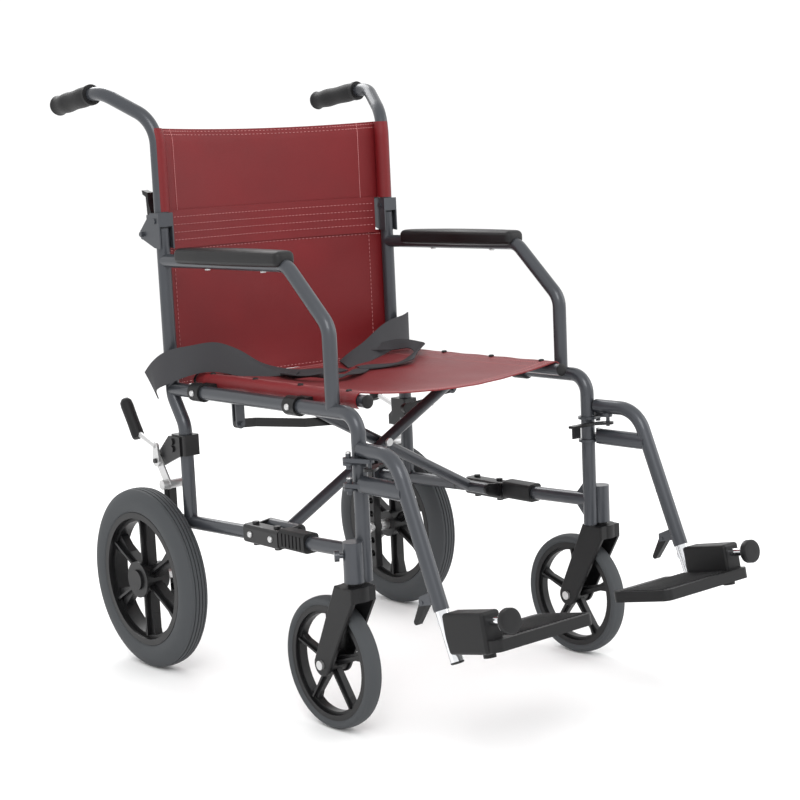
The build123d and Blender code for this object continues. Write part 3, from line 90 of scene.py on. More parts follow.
class WheelchairLooks(bpy.types.PropertyGroup):
    """Colours and cloth sizes a user would change."""

    paint: FloatVectorProperty(name="Frame paint", description="Powder coat colour", subtype="COLOR",
                               size=3, min=0, max=1, default=(0.043, 0.047, 0.055))
    cloth: FloatVectorProperty(name="Upholstery", description="Coated nylon colour", subtype="COLOR",
                               size=3, min=0, max=1, default=(0.15, 0.0055, 0.008))
    thread: FloatVectorProperty(name="Thread", description="Stitching colour", subtype="COLOR",
                                size=3, min=0, max=1, default=(0.5, 0.19, 0.19))
    plastic: FloatVectorProperty(name="Plastic", description="Moulded plastic colour", subtype="COLOR",
                                 size=3, min=0, max=1, default=(0.0058, 0.0058, 0.0064))
    tyre: FloatVectorProperty(name="Tyre", description="Tyre rubber colour", subtype="COLOR",
                              size=3, min=0, max=1, default=(0.0068, 0.0068, 0.0074))
    seat_sag: FloatProperty(name="Seat sag", description="Fall of the seat between its rails",
                            subtype="DISTANCE", unit="LENGTH", default=0.022)
    back_sag: FloatProperty(name="Back sag", description="Bow of the back between its posts",
                            subtype="DISTANCE", unit="LENGTH", default=0.025)
    stitch: FloatProperty(name="Stitch pitch", description="Length of one stitch and its gap",
                          subtype="DISTANCE", unit="LENGTH", default=0.0078)


def looks():
    """Return the scene's settings."""
    return bpy.context.scene.wheelchair_looks


# ---------------------------------------------------------------- node helpers
def link(tree, a, b):
    """Join two sockets."""
    tree.links.new(a, b)


def add(tree, kind, **values):
    """Add a node and set its inputs by name."""
    made = tree.nodes.new(kind)
    for key, value in values.items():
        name = key.replace("_", " ")
        if name in made.inputs:
            made.inputs[name].default_value = value
        else:
            setattr(made, key, value)
    return made


def new_group(name, inputs, outputs):
    """Start a node group with float inputs (name, default) and float outputs."""
    group = bpy.data.node_groups.new(name, "ShaderNodeTree")
    group.interface.new_socket("Vector", in_out="INPUT", socket_type="NodeSocketVector")
    for label, value in inputs:
        socket = group.interface.new_socket(label, in_out="INPUT", socket_type="NodeSocketFloat")
        socket.default_value = value
    for label in outputs:
        group.interface.new_socket(label, in_out="OUTPUT", socket_type="NodeSocketFloat")
    return group, add(group, "NodeGroupInput"), add(group, "NodeGroupOutput")


def grain_group():
    """Fine surface grain with broad, faint unevenness."""
    group, start, end = new_group("Grain", [("Fine Scale", 900.0), ("Broad Scale", 9.0)],
                                  ["Height", "Broad"])
    fine = add(group, "ShaderNodeTexNoise", Detail=3.0, Roughness=0.6)
    broad = add(group, "ShaderNodeTexNoise", Detail=4.0, Roughness=0.55)
    for node, scale in ((fine, "Fine Scale"), (broad, "Broad Scale")):
        link(group, start.outputs["Vector"], node.inputs["Vector"])
        link(group, start.outputs[scale], node.inputs["Scale"])
    link(group, fine.outputs["Fac"], end.inputs["Height"])
    link(group, broad.outputs["Fac"], end.inputs["Broad"])
    return group


def weave_group():
    """Plain weave: threads over and under, with uneven yarn."""
    group, start, end = new_group("Weave", [("Threads", 1100.0)], ["Height", "Shade"])
    split = add(group, "ShaderNodeSeparateXYZ")
    link(group, start.outputs["Vector"], split.inputs[0])
    waves = []
    for axis in ("X", "Y"):
        scaled = add(group, "ShaderNodeMath", operation="MULTIPLY")
        link(group, split.outputs[axis], scaled.inputs[0])
        link(group, start.outputs["Threads"], scaled.inputs[1])
        wave = add(group, "ShaderNodeMath", operation="SINE")
        link(group, scaled.outputs[0], wave.inputs[0])
        waves.append(wave)
    cross = add(group, "ShaderNodeMath", operation="MULTIPLY")
    link(group, waves[0].outputs[0], cross.inputs[0])
    link(group, waves[1].outputs[0], cross.inputs[1])
    yarn = add(group, "ShaderNodeTexNoise", Scale=260.0, Detail=2.0)
    link(group, start.outputs["Vector"], yarn.inputs["Vector"])
    uneven = add(group, "ShaderNodeMath", operation="MULTIPLY_ADD")
    uneven.inputs[1].default_value = 0.5
    link(group, cross.outputs[0], uneven.inputs[0])
    link(group, yarn.outputs["Fac"], uneven.inputs[2])
    broad = add(group, "ShaderNodeTexNoise", Scale=7.0, Detail=4.0)
    link(group, start.outputs["Vector"], broad.inputs["Vector"])
    link(group, uneven.outputs[0], end.inputs["Height"])
    link(group, broad.outputs["Fac"], end.inputs["Shade"])
    return group


def shader(name, color, low=0.8, high=1.2, rough=(0.3, 0.45), bump=0.1, fine=900.0, broad=9.0, **fixed):
    """A procedural material: colour and roughness vary broadly, and fine grain gives bump."""
    mat = bpy.data.materials.new(name)
    mat.use_nodes = True
    tree = mat.node_tree
    surface = tree.nodes["Principled BSDF"]
    for key, value in fixed.items():
        surface.inputs[key.replace("_", " ")].default_value = value
    coords = add(tree, "ShaderNodeTexCoord")
    grain = add(tree, "ShaderNodeGroup")
    grain.node_tree = bpy.data.node_groups["Grain"]
    grain.inputs["Fine Scale"].default_value = fine
    grain.inputs["Broad Scale"].default_value = broad
    link(tree, coords.outputs["Object"], grain.inputs["Vector"])
    ramp = add(tree, "ShaderNodeValToRGB")
    for element, share, at in zip(ramp.color_ramp.elements, (low, high), (0.3, 0.7)):
        element.position = at
        element.color = [min(1.0, c * share) for c in color] + [1.0]
    link(tree, grain.outputs["Broad"], ramp.inputs["Fac"])
    link(tree, ramp.outputs["Color"], surface.inputs["Base Color"])
    span = add(tree, "ShaderNodeMapRange")
    span.inputs["From Min"].default_value = 0.3
    span.inputs["From Max"].default_value = 0.7
    span.inputs["To Min"].default_value = rough[0]
    span.inputs["To Max"].default_value = rough[1]
    link(tree, grain.outputs["Broad"], span.inputs["Value"])
    link(tree, span.outputs["Result"], surface.inputs["Roughness"])
    relief = add(tree, "ShaderNodeBump", Strength=bump, Distance=0.0006)
    link(tree, grain.outputs["Height"], relief.inputs["Height"])
    link(tree, relief.outputs["Normal"], surface.inputs["Normal"])
    return mat


def cloth_shader(name, color, threads, rough, sheen):
    """Coated woven cloth, mapped by the piece's own UV in metres."""
    mat = bpy.data.materials.new(name)
    mat.use_nodes = True
    tree = mat.node_tree
    surface = tree.nodes["Principled BSDF"]
    surface.inputs["Sheen Weight"].default_value = sheen
    surface.inputs["Specular IOR Level"].default_value = 0.3
    surface.inputs["Coat Weight"].default_value = 0.04
    surface.inputs["Coat Roughness"].default_value = 0.35
    uv = add(tree, "ShaderNodeUVMap", uv_map="UVMap")
    weave = add(tree, "ShaderNodeGroup")
    weave.node_tree = bpy.data.node_groups["Weave"]
    weave.inputs["Threads"].default_value = threads
    link(tree, uv.outputs["UV"], weave.inputs["Vector"])
    ramp = add(tree, "ShaderNodeValToRGB")
    for element, share, at in zip(ramp.color_ramp.elements, (0.9, 1.1), (0.3, 0.7)):
        element.position = at
        element.color = [min(1.0, c * share) for c in color] + [1.0]
    link(tree, weave.outputs["Shade"], ramp.inputs["Fac"])
    # Painted shade and highlight: the base colour is darkened in the weave's low spots and lightened on its
    # raised threads.
    painted_weave_shade = add(tree, "ShaderNodeMix", data_type="RGBA", blend_type="MULTIPLY")
    painted_weave_shade.inputs[0].default_value = 0.35
    link(tree, ramp.outputs["Color"], painted_weave_shade.inputs[6])
    lift = add(tree, "ShaderNodeMapRange")
    lift.inputs["To Min"].default_value = 0.7
    lift.inputs["To Max"].default_value = 1.2
    link(tree, weave.outputs["Height"], lift.inputs["Value"])
    link(tree, lift.outputs["Result"], painted_weave_shade.inputs[7])
    link(tree, painted_weave_shade.outputs[2], surface.inputs["Base Color"])
    span = add(tree, "ShaderNodeMapRange")
    span.inputs["To Min"].default_value = rough[0]
    span.inputs["To Max"].default_value = rough[1]
    link(tree, weave.outputs["Shade"], span.inputs["Value"])
    link(tree, span.outputs["Result"], surface.inputs["Roughness"])
    relief = add(tree, "ShaderNodeBump", Strength=0.3, Distance=0.0003)
    link(tree, weave.outputs["Height"], relief.inputs["Height"])
    link(tree, relief.outputs["Normal"], surface.inputs["Normal"])
    return mat


# ---------------------------------------------------------------- modelling helpers
def activate(obj):
    """Select one object alone."""
    bpy.ops.object.select_all(action="DESELECT")
    obj.select_set(True)
    bpy.context.view_layer.objects.active = obj


def apply_all(obj):
    """Apply the object's transform and all its modifiers."""
    activate(obj)
    bpy.ops.object.transform_apply(location=True, rotation=True, scale=True)
    for modifier in list(obj.modifiers):
        bpy.ops.object.modifier_apply(modifier=modifier.name)


def modifier(obj, kind, **values):
    """Add a modifier with its settings."""
    made = obj.modifiers.new(kind.title(), kind)
    for key, value in values.items():
        setattr(made, key, value)
    return made


def finish_piece(obj, name, material, body):
    """Name, colour, smooth and attach one finished piece."""
    obj.name = name
    obj.data.name = name
    obj.data.materials.clear()
    obj.data.materials.append(bpy.data.materials[material])
    activate(obj)
    bpy.ops.object.mode_set(mode="EDIT")
    bpy.ops.mesh.select_all(action="SELECT")
    bpy.ops.mesh.normals_make_consistent(inside=False)
    bpy.ops.object.mode_set(mode="OBJECT")
    bpy.ops.object.shade_smooth_by_angle(angle=radians(38))
    if body:
        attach(obj, body)
    return obj


def surface(name, columns, rows, width, length, place):
    """Add a grid, map it in metres, and lay each point by place(u, v)."""
    bpy.ops.object.select_all(action="DESELECT")
    bpy.ops.mesh.primitive_grid_add(x_subdivisions=columns, y_subdivisions=rows, size=2, calc_uvs=True)
    obj = bpy.context.object
    obj.name = name
    for loop in obj.data.uv_layers[0].data:
        loop.uv = (loop.uv[0] * width, loop.uv[1] * length)
    obj.data.uv_layers[0].name = "UVMap"
    for vertex in obj.data.vertices:
        vertex.co = place((vertex.co.x + 1) / 2, (vertex.co.y + 1) / 2)
    return obj


def join(objects):
    """Join several meshes into the first one."""
    activate(objects[0])
    for obj in objects:
        obj.select_set(True)
    if len(objects) > 1:
        bpy.ops.object.join()
    return bpy.context.object


def turned(profile, centre, axis, steps=32):
    """Spin a profile of (distance along, radius) about an axis through centre."""
    direction = Vector(axis).normalized()
    turn = direction.to_track_quat("Z", "Y").to_matrix().to_4x4()
    bpy.ops.object.select_all(action="DESELECT")
    bpy.ops.mesh.primitive_circle_add(vertices=steps, radius=profile[0][1], location=(0, 0, 0))
    obj = bpy.context.object
    bpy.ops.object.mode_set(mode="EDIT")
    bpy.ops.mesh.select_all(action="SELECT")
    bpy.ops.transform.translate(value=(0, 0, profile[0][0]))
    bpy.ops.mesh.edge_face_add()
    for (z0, r0), (z1, r1) in zip(profile, profile[1:]):
        bpy.ops.mesh.extrude_region_move(TRANSFORM_OT_translate={"value": (0, 0, z1 - z0)})
        bpy.ops.transform.resize(value=(r1 / r0, r1 / r0, 1), center_override=(0, 0, z1))
    bpy.ops.object.mode_set(mode="OBJECT")
    obj.data.transform(Matrix.Translation(Vector(centre)) @ turn)
    return obj


def copies(obj, places):
    """Copy a piece made at the origin to each place, and join them all."""
    made = []
    for place in places:
        twin = obj.copy()
        twin.data = obj.data.copy()
        twin.data.transform(place)
        bpy.context.collection.objects.link(twin)
        made.append(twin)
    bpy.data.objects.remove(obj)
    return join(made)


def look(point, along, normal):
    """Matrix putting a piece's X along a direction and its Z along a normal."""
    x = Vector(along).normalized()
    z = (Vector(normal) - x * x.dot(Vector(normal))).normalized()
    y = z.cross(x)
    turn = Matrix((x, y, z)).transposed().to_4x4()
    return Matrix.Translation(Vector(point)) @ turn


def stitches(name, line, normal, body, pitch):
    """Lay a row of raised stitches along a list of points."""
    bpy.ops.object.select_all(action="DESELECT")
    bpy.ops.mesh.primitive_uv_sphere_add(segments=8, ring_count=6, radius=1)
    seed = bpy.context.object
    seed.data.transform(Matrix.Diagonal((pitch * 0.33, 0.00055, 0.0006, 1)))
    places = []
    for a, b in zip(line, line[1:]):
        run = Vector(b) - Vector(a)
        count = max(1, ceil(run.length / pitch))
        for index in range(count):
            places.append(look(Vector(a) + run * ((index + 0.5) / count), run, normal))
    obj = copies(seed, places)
    return finish_piece(obj, name, "thread", body)


def wrinkle(point, size, scale):
    """Small smooth unevenness at a point, the same on every run."""
    return size * noise.noise(Vector(point) * scale)


def bow(x, half, sag):
    """Share of a shallow arc's sag at x."""
    return sag * (1 - (x / half) ** 2)


# ---------------------------------------------------------------- materials
GLOSSES = {
    "pad": dict(rough=(0.42, 0.55), bump=0.22, fine=1500.0, Specular_IOR_Level=0.35),
    "plastic": dict(rough=(0.38, 0.52), bump=0.12, fine=1600.0, Specular_IOR_Level=0.3),
    "black steel": dict(rough=(0.3, 0.42), bump=0.06, fine=1200.0, Coat_Weight=0.1, Specular_IOR_Level=0.35),
    "grip": dict(rough=(0.5, 0.65), bump=0.3, fine=1300.0, Specular_IOR_Level=0.3),
}
NODE_LOOKS = {
    "side_frame": "paint", "back_cane": "paint", "hanger": "paint", "brace": "paint",
    "seat_saddles": "plastic", "rail_clip": "plastic", "back_release": "plastic", "cam_lever": "plastic",
    "caster_fork": "plastic", "footplate": "plastic", "axle_bar": "black steel",
    "brace_bracket": "black steel",
    "fold_link": "black steel", "hanger_latch": "black steel", "brake_lever": "zinc",
    "rear_tyre": "tyre", "caster_tyre": "tyre", "rear_wheel": "wheel", "caster_wheel": "wheel",
    "rear_axle": "zinc", "brake_clamp": "black steel", "brake_shoe": "zinc", "caster_axle": "zinc",
    "centre_bolt": "zinc", "leg_extension": "chrome", "footplate_rod": "chrome", "hand_grip": "grip",
    "armrest_pad": "pad",
}


class WHEELCHAIR_OT_materials(bpy.types.Operator):
    """Make the materials and give them to the hard pieces"""

    bl_idname = "wheelchair.materials"
    bl_label = "Materials"

    def execute(self, context):
        s = looks()
        grain_group()
        weave_group()
        shader("paint", s.paint, 0.9, 1.12, (0.3, 0.4), 0.1, 700.0, 6.0, Metallic=0.35, Coat_Weight=0.25)
        for name, values in GLOSSES.items():
            shader(name, s.plastic, 0.75, 1.35, **values)
        shader("wheel", s.plastic, 0.85, 1.3, (0.34, 0.46), 0.08, 1500.0, Specular_IOR_Level=0.35)
        shader("tyre", s.tyre, 0.8, 1.3, (0.5, 0.68), 0.25, 1400.0, 22.0, Specular_IOR_Level=0.3)
        shader("zinc", (0.33, 0.335, 0.345), 0.75, 1.15, (0.24, 0.4), 0.08, 900.0, 30.0, Metallic=1.0)
        shader("chrome", (0.72, 0.73, 0.75), 0.92, 1.08, (0.08, 0.18), 0.02, 500.0, 18.0, Metallic=1.0)
        shader("thread", s.thread, 0.8, 1.2, (0.6, 0.8), 0.3, 2500.0)
        # Painted light: the seat cloth is a lighter copy of the upholstery colour, for light falling on the
        # upward-facing seat.
        cloth_shader("seat cloth", [c * 1.2 + 0.006 for c in s.cloth], 5200.0, (0.42, 0.55), 0.03)
        cloth_shader("back cloth", s.cloth, 5200.0, (0.42, 0.54), 0.0)
        cloth_shader("webbing", s.plastic, 3800.0, (0.6, 0.75), 0.0)
        for name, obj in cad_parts.items():
            for prefix in sorted(NODE_LOOKS, key=len, reverse=True):
                if name.startswith(prefix):
                    for material_slot in obj.material_slots:
                        material_slot.material = bpy.data.materials[NODE_LOOKS[prefix]]
                    break
        return {"FINISHED"}


# ---------------------------------------------------------------- upholstery
def rail_facts():
    """Seat rail x, z and radius, and the cloth's front and rear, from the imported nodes."""
    low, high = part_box("seat_sling")
    rail_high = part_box("brace_left_rail")[1]
    return rail_high.x - RAIL_R, rail_high.z - RAIL_R, RAIL_R, low.y, high.y


class WHEELCHAIR_OT_seat(bpy.types.Operator):
    """Seat sling with its rolled edges, hems and stitching"""

    bl_idname = "wheelchair.seat"
    bl_label = "Seat sling"

    def execute(self, context):
        s = looks()
        rail_x, rail_z, rail_r, front, rear = rail_facts()
        wrap = rail_r + 0.0012
        end = radians(-62)
        arc = wrap * (pi / 2 - end)
        flat = rail_x + 0.002
        width = 2 * (flat + arc)

        def place(u, v):
            across = (u - 0.5) * width
            y = front + (rear - front) * v
            side = 1 if across > 0 else -1
            distance = abs(across)
            edge = min(v, 1 - v) * (rear - front)
            hem = 0.0007 if edge < 0.024 else 0.0
            if distance <= flat:
                z = rail_z + wrap - bow(distance, flat, s.seat_sag) + hem
                fade = bow(distance, flat, 1.0)
                z += wrinkle((across, y, 0), 0.004, 6.0) * fade
                z += wrinkle((across * 1.6, y * 0.8, 3), 0.0012, 14.0) * fade
                z += fade * 0.006 * (2 * v - 1) ** 2
                return Vector((across, y, z))
            angle = pi / 2 - (distance - flat) / wrap
            lift = wrap + 0.0004 * sin(y * 90) + hem
            return Vector((side * (rail_x + lift * cos(angle)), y, rail_z + lift * sin(angle)))

        obj = surface("seat", 150, 110, width, rear - front, place)
        modifier(obj, "SOLIDIFY", thickness=0.0018, offset=1.0)
        apply_all(obj)
        finish_piece(obj, "seat", "seat cloth", None)
        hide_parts("seat_sling")
        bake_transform(obj)
        pitch = s.stitch
        for index, v in enumerate((0.018, 0.05, 0.95, 0.982)):
            line = [place(0.5 + (k / 24 - 0.5) * (2 * flat / width) * 0.985, v) + Vector((0, 0, 0.0017))
                    for k in range(25)]
            row = stitches(f"seat_stitch_{index}", line, (0, 0, 1), None, pitch)
            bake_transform(row)
        for name, side in SIDES:
            for index, inset in enumerate((0.012, 0.034)):
                u = 0.5 + side * (flat - inset) / width
                line = [place(u, 0.02 + 0.96 * k / 24) + Vector((0, 0, 0.0017)) for k in range(25)]
                row = stitches(f"seat_edge_stitch_{name}_{index}", line, (0, 0, 1), None, pitch)
                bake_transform(row)
        return {"FINISHED"}


def cane_shift(z):
    """How far the cane has leaned out and back at a height."""
    reach = max(0.0, z - CANE_TURN_Z)
    lean = CANE_BEND_R - sqrt(max(0.0, CANE_BEND_R ** 2 - reach ** 2))
    return lean * 0.439, lean * 0.898


def back_place(low, high, post_x, post_y, sag, wrap, outer, tilt):
    """Return a place(u, v) that runs round one post, across, and round the other."""
    arc = wrap * radians(outer)
    flat = post_x - wrap * 0.2
    width = 2 * (flat + arc)

    def place(u, v):
        across = (u - 0.5) * width
        side = 1 if across > 0 else -1
        distance = abs(across)
        droop = tilt * bow(min(distance, flat), flat, 1.0)
        z = low + (high - low) * v - droop * v
        out, back = cane_shift(z)
        reach = post_x + out
        if distance <= flat:
            x = distance * reach / post_x
            y = post_y + back + wrap + bow(distance, flat, sag)
            fade = bow(distance, flat, 1.0)
            y += wrinkle((across, z, 5), 0.0035, 5.0) * fade
            y += wrinkle((across * 0.8, z * 1.4, 9), 0.0007, 14.0) * fade
            return Vector((side * x, y, z))
        angle = (distance - flat) / wrap
        return Vector((side * (reach - wrap * 0.2 + wrap * sin(angle)),
                       post_y + back + wrap * cos(angle), z))

    return place, width, flat


class WHEELCHAIR_OT_back(bpy.types.Operator):
    """Upper and lower back upholstery with bindings and stitching"""

    bl_idname = "wheelchair.back"
    bl_label = "Back upholstery"

    def execute(self, context):
        s = looks()
        post_x, post_y = POST
        low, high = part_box("back_sling_lower")
        bottom = low.z - LOWER_DROP
        place, width, flat = back_place(bottom, high.z, post_x, post_y, s.back_sag,
                                        TUBE_R + 0.0012, 60, 0.0)
        obj = surface("back_lower", 140, 70, width, high.z - bottom, place)
        modifier(obj, "SOLIDIFY", thickness=0.0016, offset=1.0)
        apply_all(obj)
        finish_piece(obj, "back_lower", "back cloth", "right_frame")
        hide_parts("back_sling_lower")
        self.fold(obj)
        self.rows("lower", place, flat / width, (0.02, 0.97), "right_frame", s)
        self.columns("lower", place, width, 0.206, "right_frame", s)

        low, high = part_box("back_sling_upper")
        place, width, flat = back_place(SLEEVE_LOW_Z, high.z, post_x, post_y, s.back_sag,
                                        TUBE_R + 0.0016, 352, 0.005)
        obj = surface("back_upper", 240, 60, width, high.z - SLEEVE_LOW_Z, place)
        modifier(obj, "SOLIDIFY", thickness=0.0018, offset=1.0)
        apply_all(obj)
        skirt_place, skirt_width, skirt_flat = back_place(
            low.z - 0.006, SKIRT_HIGH_Z, 0.2195, post_y - 0.0022, s.back_sag, TUBE_R + 0.0016, 1, 0.0)
        skirt = surface("skirt", 110, 24, skirt_width, SKIRT_LENGTH, skirt_place)
        modifier(skirt, "SOLIDIFY", thickness=0.0018, offset=1.0)
        apply_all(skirt)
        obj = join([obj, skirt])
        finish_piece(obj, "back_upper", "back cloth", "back_right")
        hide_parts("back_sling_upper")
        self.fold(obj)
        self.rows("upper", place, flat / width, (0.93, 0.975), "back_right", s)
        self.columns("upper", place, width, 0.193, "back_right", s)
        self.rows("skirt", skirt_place, skirt_flat / skirt_width, (0.22, 0.42, 0.62, 0.82), "back_right", s)
        return {"FINISHED"}

    def fold(self, obj):
        """Give the piece its own copy of its mesh."""
        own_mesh(obj)

    def rows(self, name, place, share, heights, body, s):
        """Rows of stitches across the front face of a back panel."""
        for index, v in enumerate(heights):
            line = [place(0.5 + (k / 30 - 0.5) * 2 * share * 0.985, v) - Vector((0, STITCH_RISE, 0))
                    for k in range(31)]
            row = stitches(f"back_stitch_{name}_{index}", line, (0, -1, 0), body, s.stitch)
            self.fold(row)

    def columns(self, name, place, width, across, body, s):
        """Upright rows of stitches beside the two post sleeves."""
        for label, side in SIDES:
            line = [place(0.5 + side * across / width, k / 16) - Vector((0, STITCH_RISE, 0))
                    for k in range(17)]
            row = stitches(f"back_stitch_{name}_{label}", line, (0, -1, 0), body, s.stitch)
            self.fold(row)


class WHEELCHAIR_OT_pads(bpy.types.Operator):
    """Soft moulded arm pads"""

    bl_idname = "wheelchair.pads"
    bl_label = "Arm pads"

    def execute(self, context):
        for name, side in SIDES:
            low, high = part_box(f"armrest_pad_{name}")
            middle = (low + high) / 2
            size = high - low
            bpy.ops.object.select_all(action="DESELECT")
            bpy.ops.mesh.primitive_cube_add(size=1, location=(0, 0, 0))
            obj = bpy.context.object
            obj.scale = (size.x - 0.002, size.y - 0.002, size.z * 0.92)
            bpy.ops.object.transform_apply(location=True, rotation=True, scale=True)
            bpy.ops.object.mode_set(mode="EDIT")
            bpy.ops.mesh.select_all(action="SELECT")
            bpy.ops.mesh.bevel(offset=0.0108, segments=4, profile=0.55, affect="EDGES")
            bpy.ops.mesh.subdivide(number_cuts=2)
            bpy.ops.object.mode_set(mode="OBJECT")
            half = size.y / 2
            for vertex in obj.data.vertices:
                share = vertex.co.y / half
                vertex.co.x *= 1 - 0.16 * abs(share) ** 6
                vertex.co.z *= 1 - 0.12 * abs(share) ** 8
                if abs(vertex.co.z) < 0.004:
                    vertex.co.x *= 0.985
                if vertex.co.z > 0:
                    crown = (1 - (vertex.co.x / (size.x / 2)) ** 2) * (1 - 0.5 * abs(share) ** 4)
                    vertex.co.z += 0.0022 * crown
                vertex.co += middle + Vector((0, 0, size.z * 0.03))
            modifier(obj, "SUBSURF", levels=1, render_levels=1)
            apply_all(obj)
            finish_piece(obj, f"arm_pad_{name}", "pad", f"{name}_frame")
            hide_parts(f"armrest_pad_{name}")
            screw = turned([(0, 0.0045), (0.0015, 0.0045), (0.0022, 0.0032)], (0, 0, 0), (0, 0, -1), 20)
            places = [Matrix.Translation((side * FRAME_X, middle.y + offset, ARM_TUBE_Z - 0.0108))
                      for offset in (0.0685, -0.0805)]
            finish_piece(copies(screw, places), f"arm_screws_{name}", "zinc", f"{name}_frame")
        return {"FINISHED"}


def smooth_point(points, t):
    """Point on a smooth curve through a list of points, t from 0 to 1."""
    spans = len(points) - 1
    index = min(int(t * spans), spans - 1)
    f = t * spans - index
    p = [Vector(points[max(0, min(spans, index + k))]) for k in (-1, 0, 1, 2)]
    return 0.5 * (2 * p[1] + (p[2] - p[0]) * f + (2 * p[0] - 5 * p[1] + 4 * p[2] - p[3]) * f ** 2
                  + (3 * p[1] - p[0] - 3 * p[2] + p[3]) * f ** 3)


# belt routes: (point, width direction), metres, y from the rear axle
BELTS = {
    "right": (0.05, [((0.256, -0.022, 0.478), (0.2, 0.5, 1)), ((0.263, -0.045, 0.497), (0, 0.1, 1)),
                     ((0.258, -0.075, 0.511), (0, 0, 1)), ((0.232, -0.1, 0.521), (0.05, 0.1, 1)),
                     ((0.19, -0.115, 0.5235), (0.05, 0.2, 1)), ((0.14, -0.125, 0.508), (0.1, 0.6, 1)),
                     ((0.09, -0.14, 0.493), (0.3, 1, 0.5)), ((0.03, -0.15, 0.4825), (0.3, 1, 0.1)),
                     ((-0.03, -0.155, 0.4805), (0.1, 1, 0.0))]),
    "left": (0.05, [((0.26, -0.03, 0.495), (0.1, 0.3, 1)), ((0.263, -0.055, 0.517), (0, 0, 1)),
                    ((0.25, -0.085, 0.529), (0, 0, 1)), ((0.215, -0.1, 0.5245), (0.05, 0.2, 1)),
                    ((0.17, -0.11, 0.513), (0.05, 0.5, 1)), ((0.115, -0.125, 0.497), (0.3, 1, 0.6)),
                    ((0.055, -0.14, 0.4845), (0.4, 1, 0.12))]),
}
TAILS = {
    "right": (0.024, [((0.05, -0.14, 0.4855), (0.3, 1, 0)), ((0.1, -0.19, 0.4875), (1, 0.4, 0.3)),
                      ((0.08, -0.245, 0.489), (1, -0.4, 0.4)), ((0.02, -0.24, 0.4835), (0.1, 1, 0)),
                      ((-0.05, -0.2, 0.4815), (0.3, 1, 0))]),
    "left": (0.026, [((0.12, -0.1, 0.4995), (0.4, 1, 0.2)), ((0.17, -0.14, 0.507), (1, 0.4, 0.6)),
                     ((0.175, -0.2, 0.506), (1, -0.2, 0.5)), ((0.115, -0.23, 0.4895), (0.2, 1, 0)),
                     ((0.045, -0.19, 0.4835), (0.4, 1, 0))]),
}


class WHEELCHAIR_OT_belts(bpy.types.Operator):
    """Lap belt halves and their loose tails, lying on the seat"""

    bl_idname = "wheelchair.belts"
    bl_label = "Lap belt"

    def execute(self, context):
        for kind, routes in (("belt", BELTS), ("tail", TAILS)):
            for name, side in SIDES:
                width, route = routes[name]
                points = [Vector((p[0], p[1] + AXLE_Y, p[2])) for p, d in route]
                turns = [Vector(d).normalized() for p, d in route]
                samples = [smooth_point(points, k / 80) for k in range(81)]
                length = sum((b - a).length for a, b in zip(samples, samples[1:]))

                def place(u, v):
                    middle = smooth_point(points, u)
                    across = smooth_point(turns, u).normalized()
                    spot = middle + across * (v - 0.5) * width
                    spot += Vector((0, 0, 0.0016 * sin(19 * u + 3 * v)))
                    return Vector((side * spot.x, spot.y, spot.z))

                obj = surface("strap", 90, 12, length, width, place)
                modifier(obj, "SOLIDIFY", thickness=0.0018, offset=0.0)
                apply_all(obj)
                finish_piece(obj, f"lap_{kind}_{name}", "webbing", None)
                if kind == "belt":
                    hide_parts(f"belt_{name}")
                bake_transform(obj)
        return {"FINISHED"}


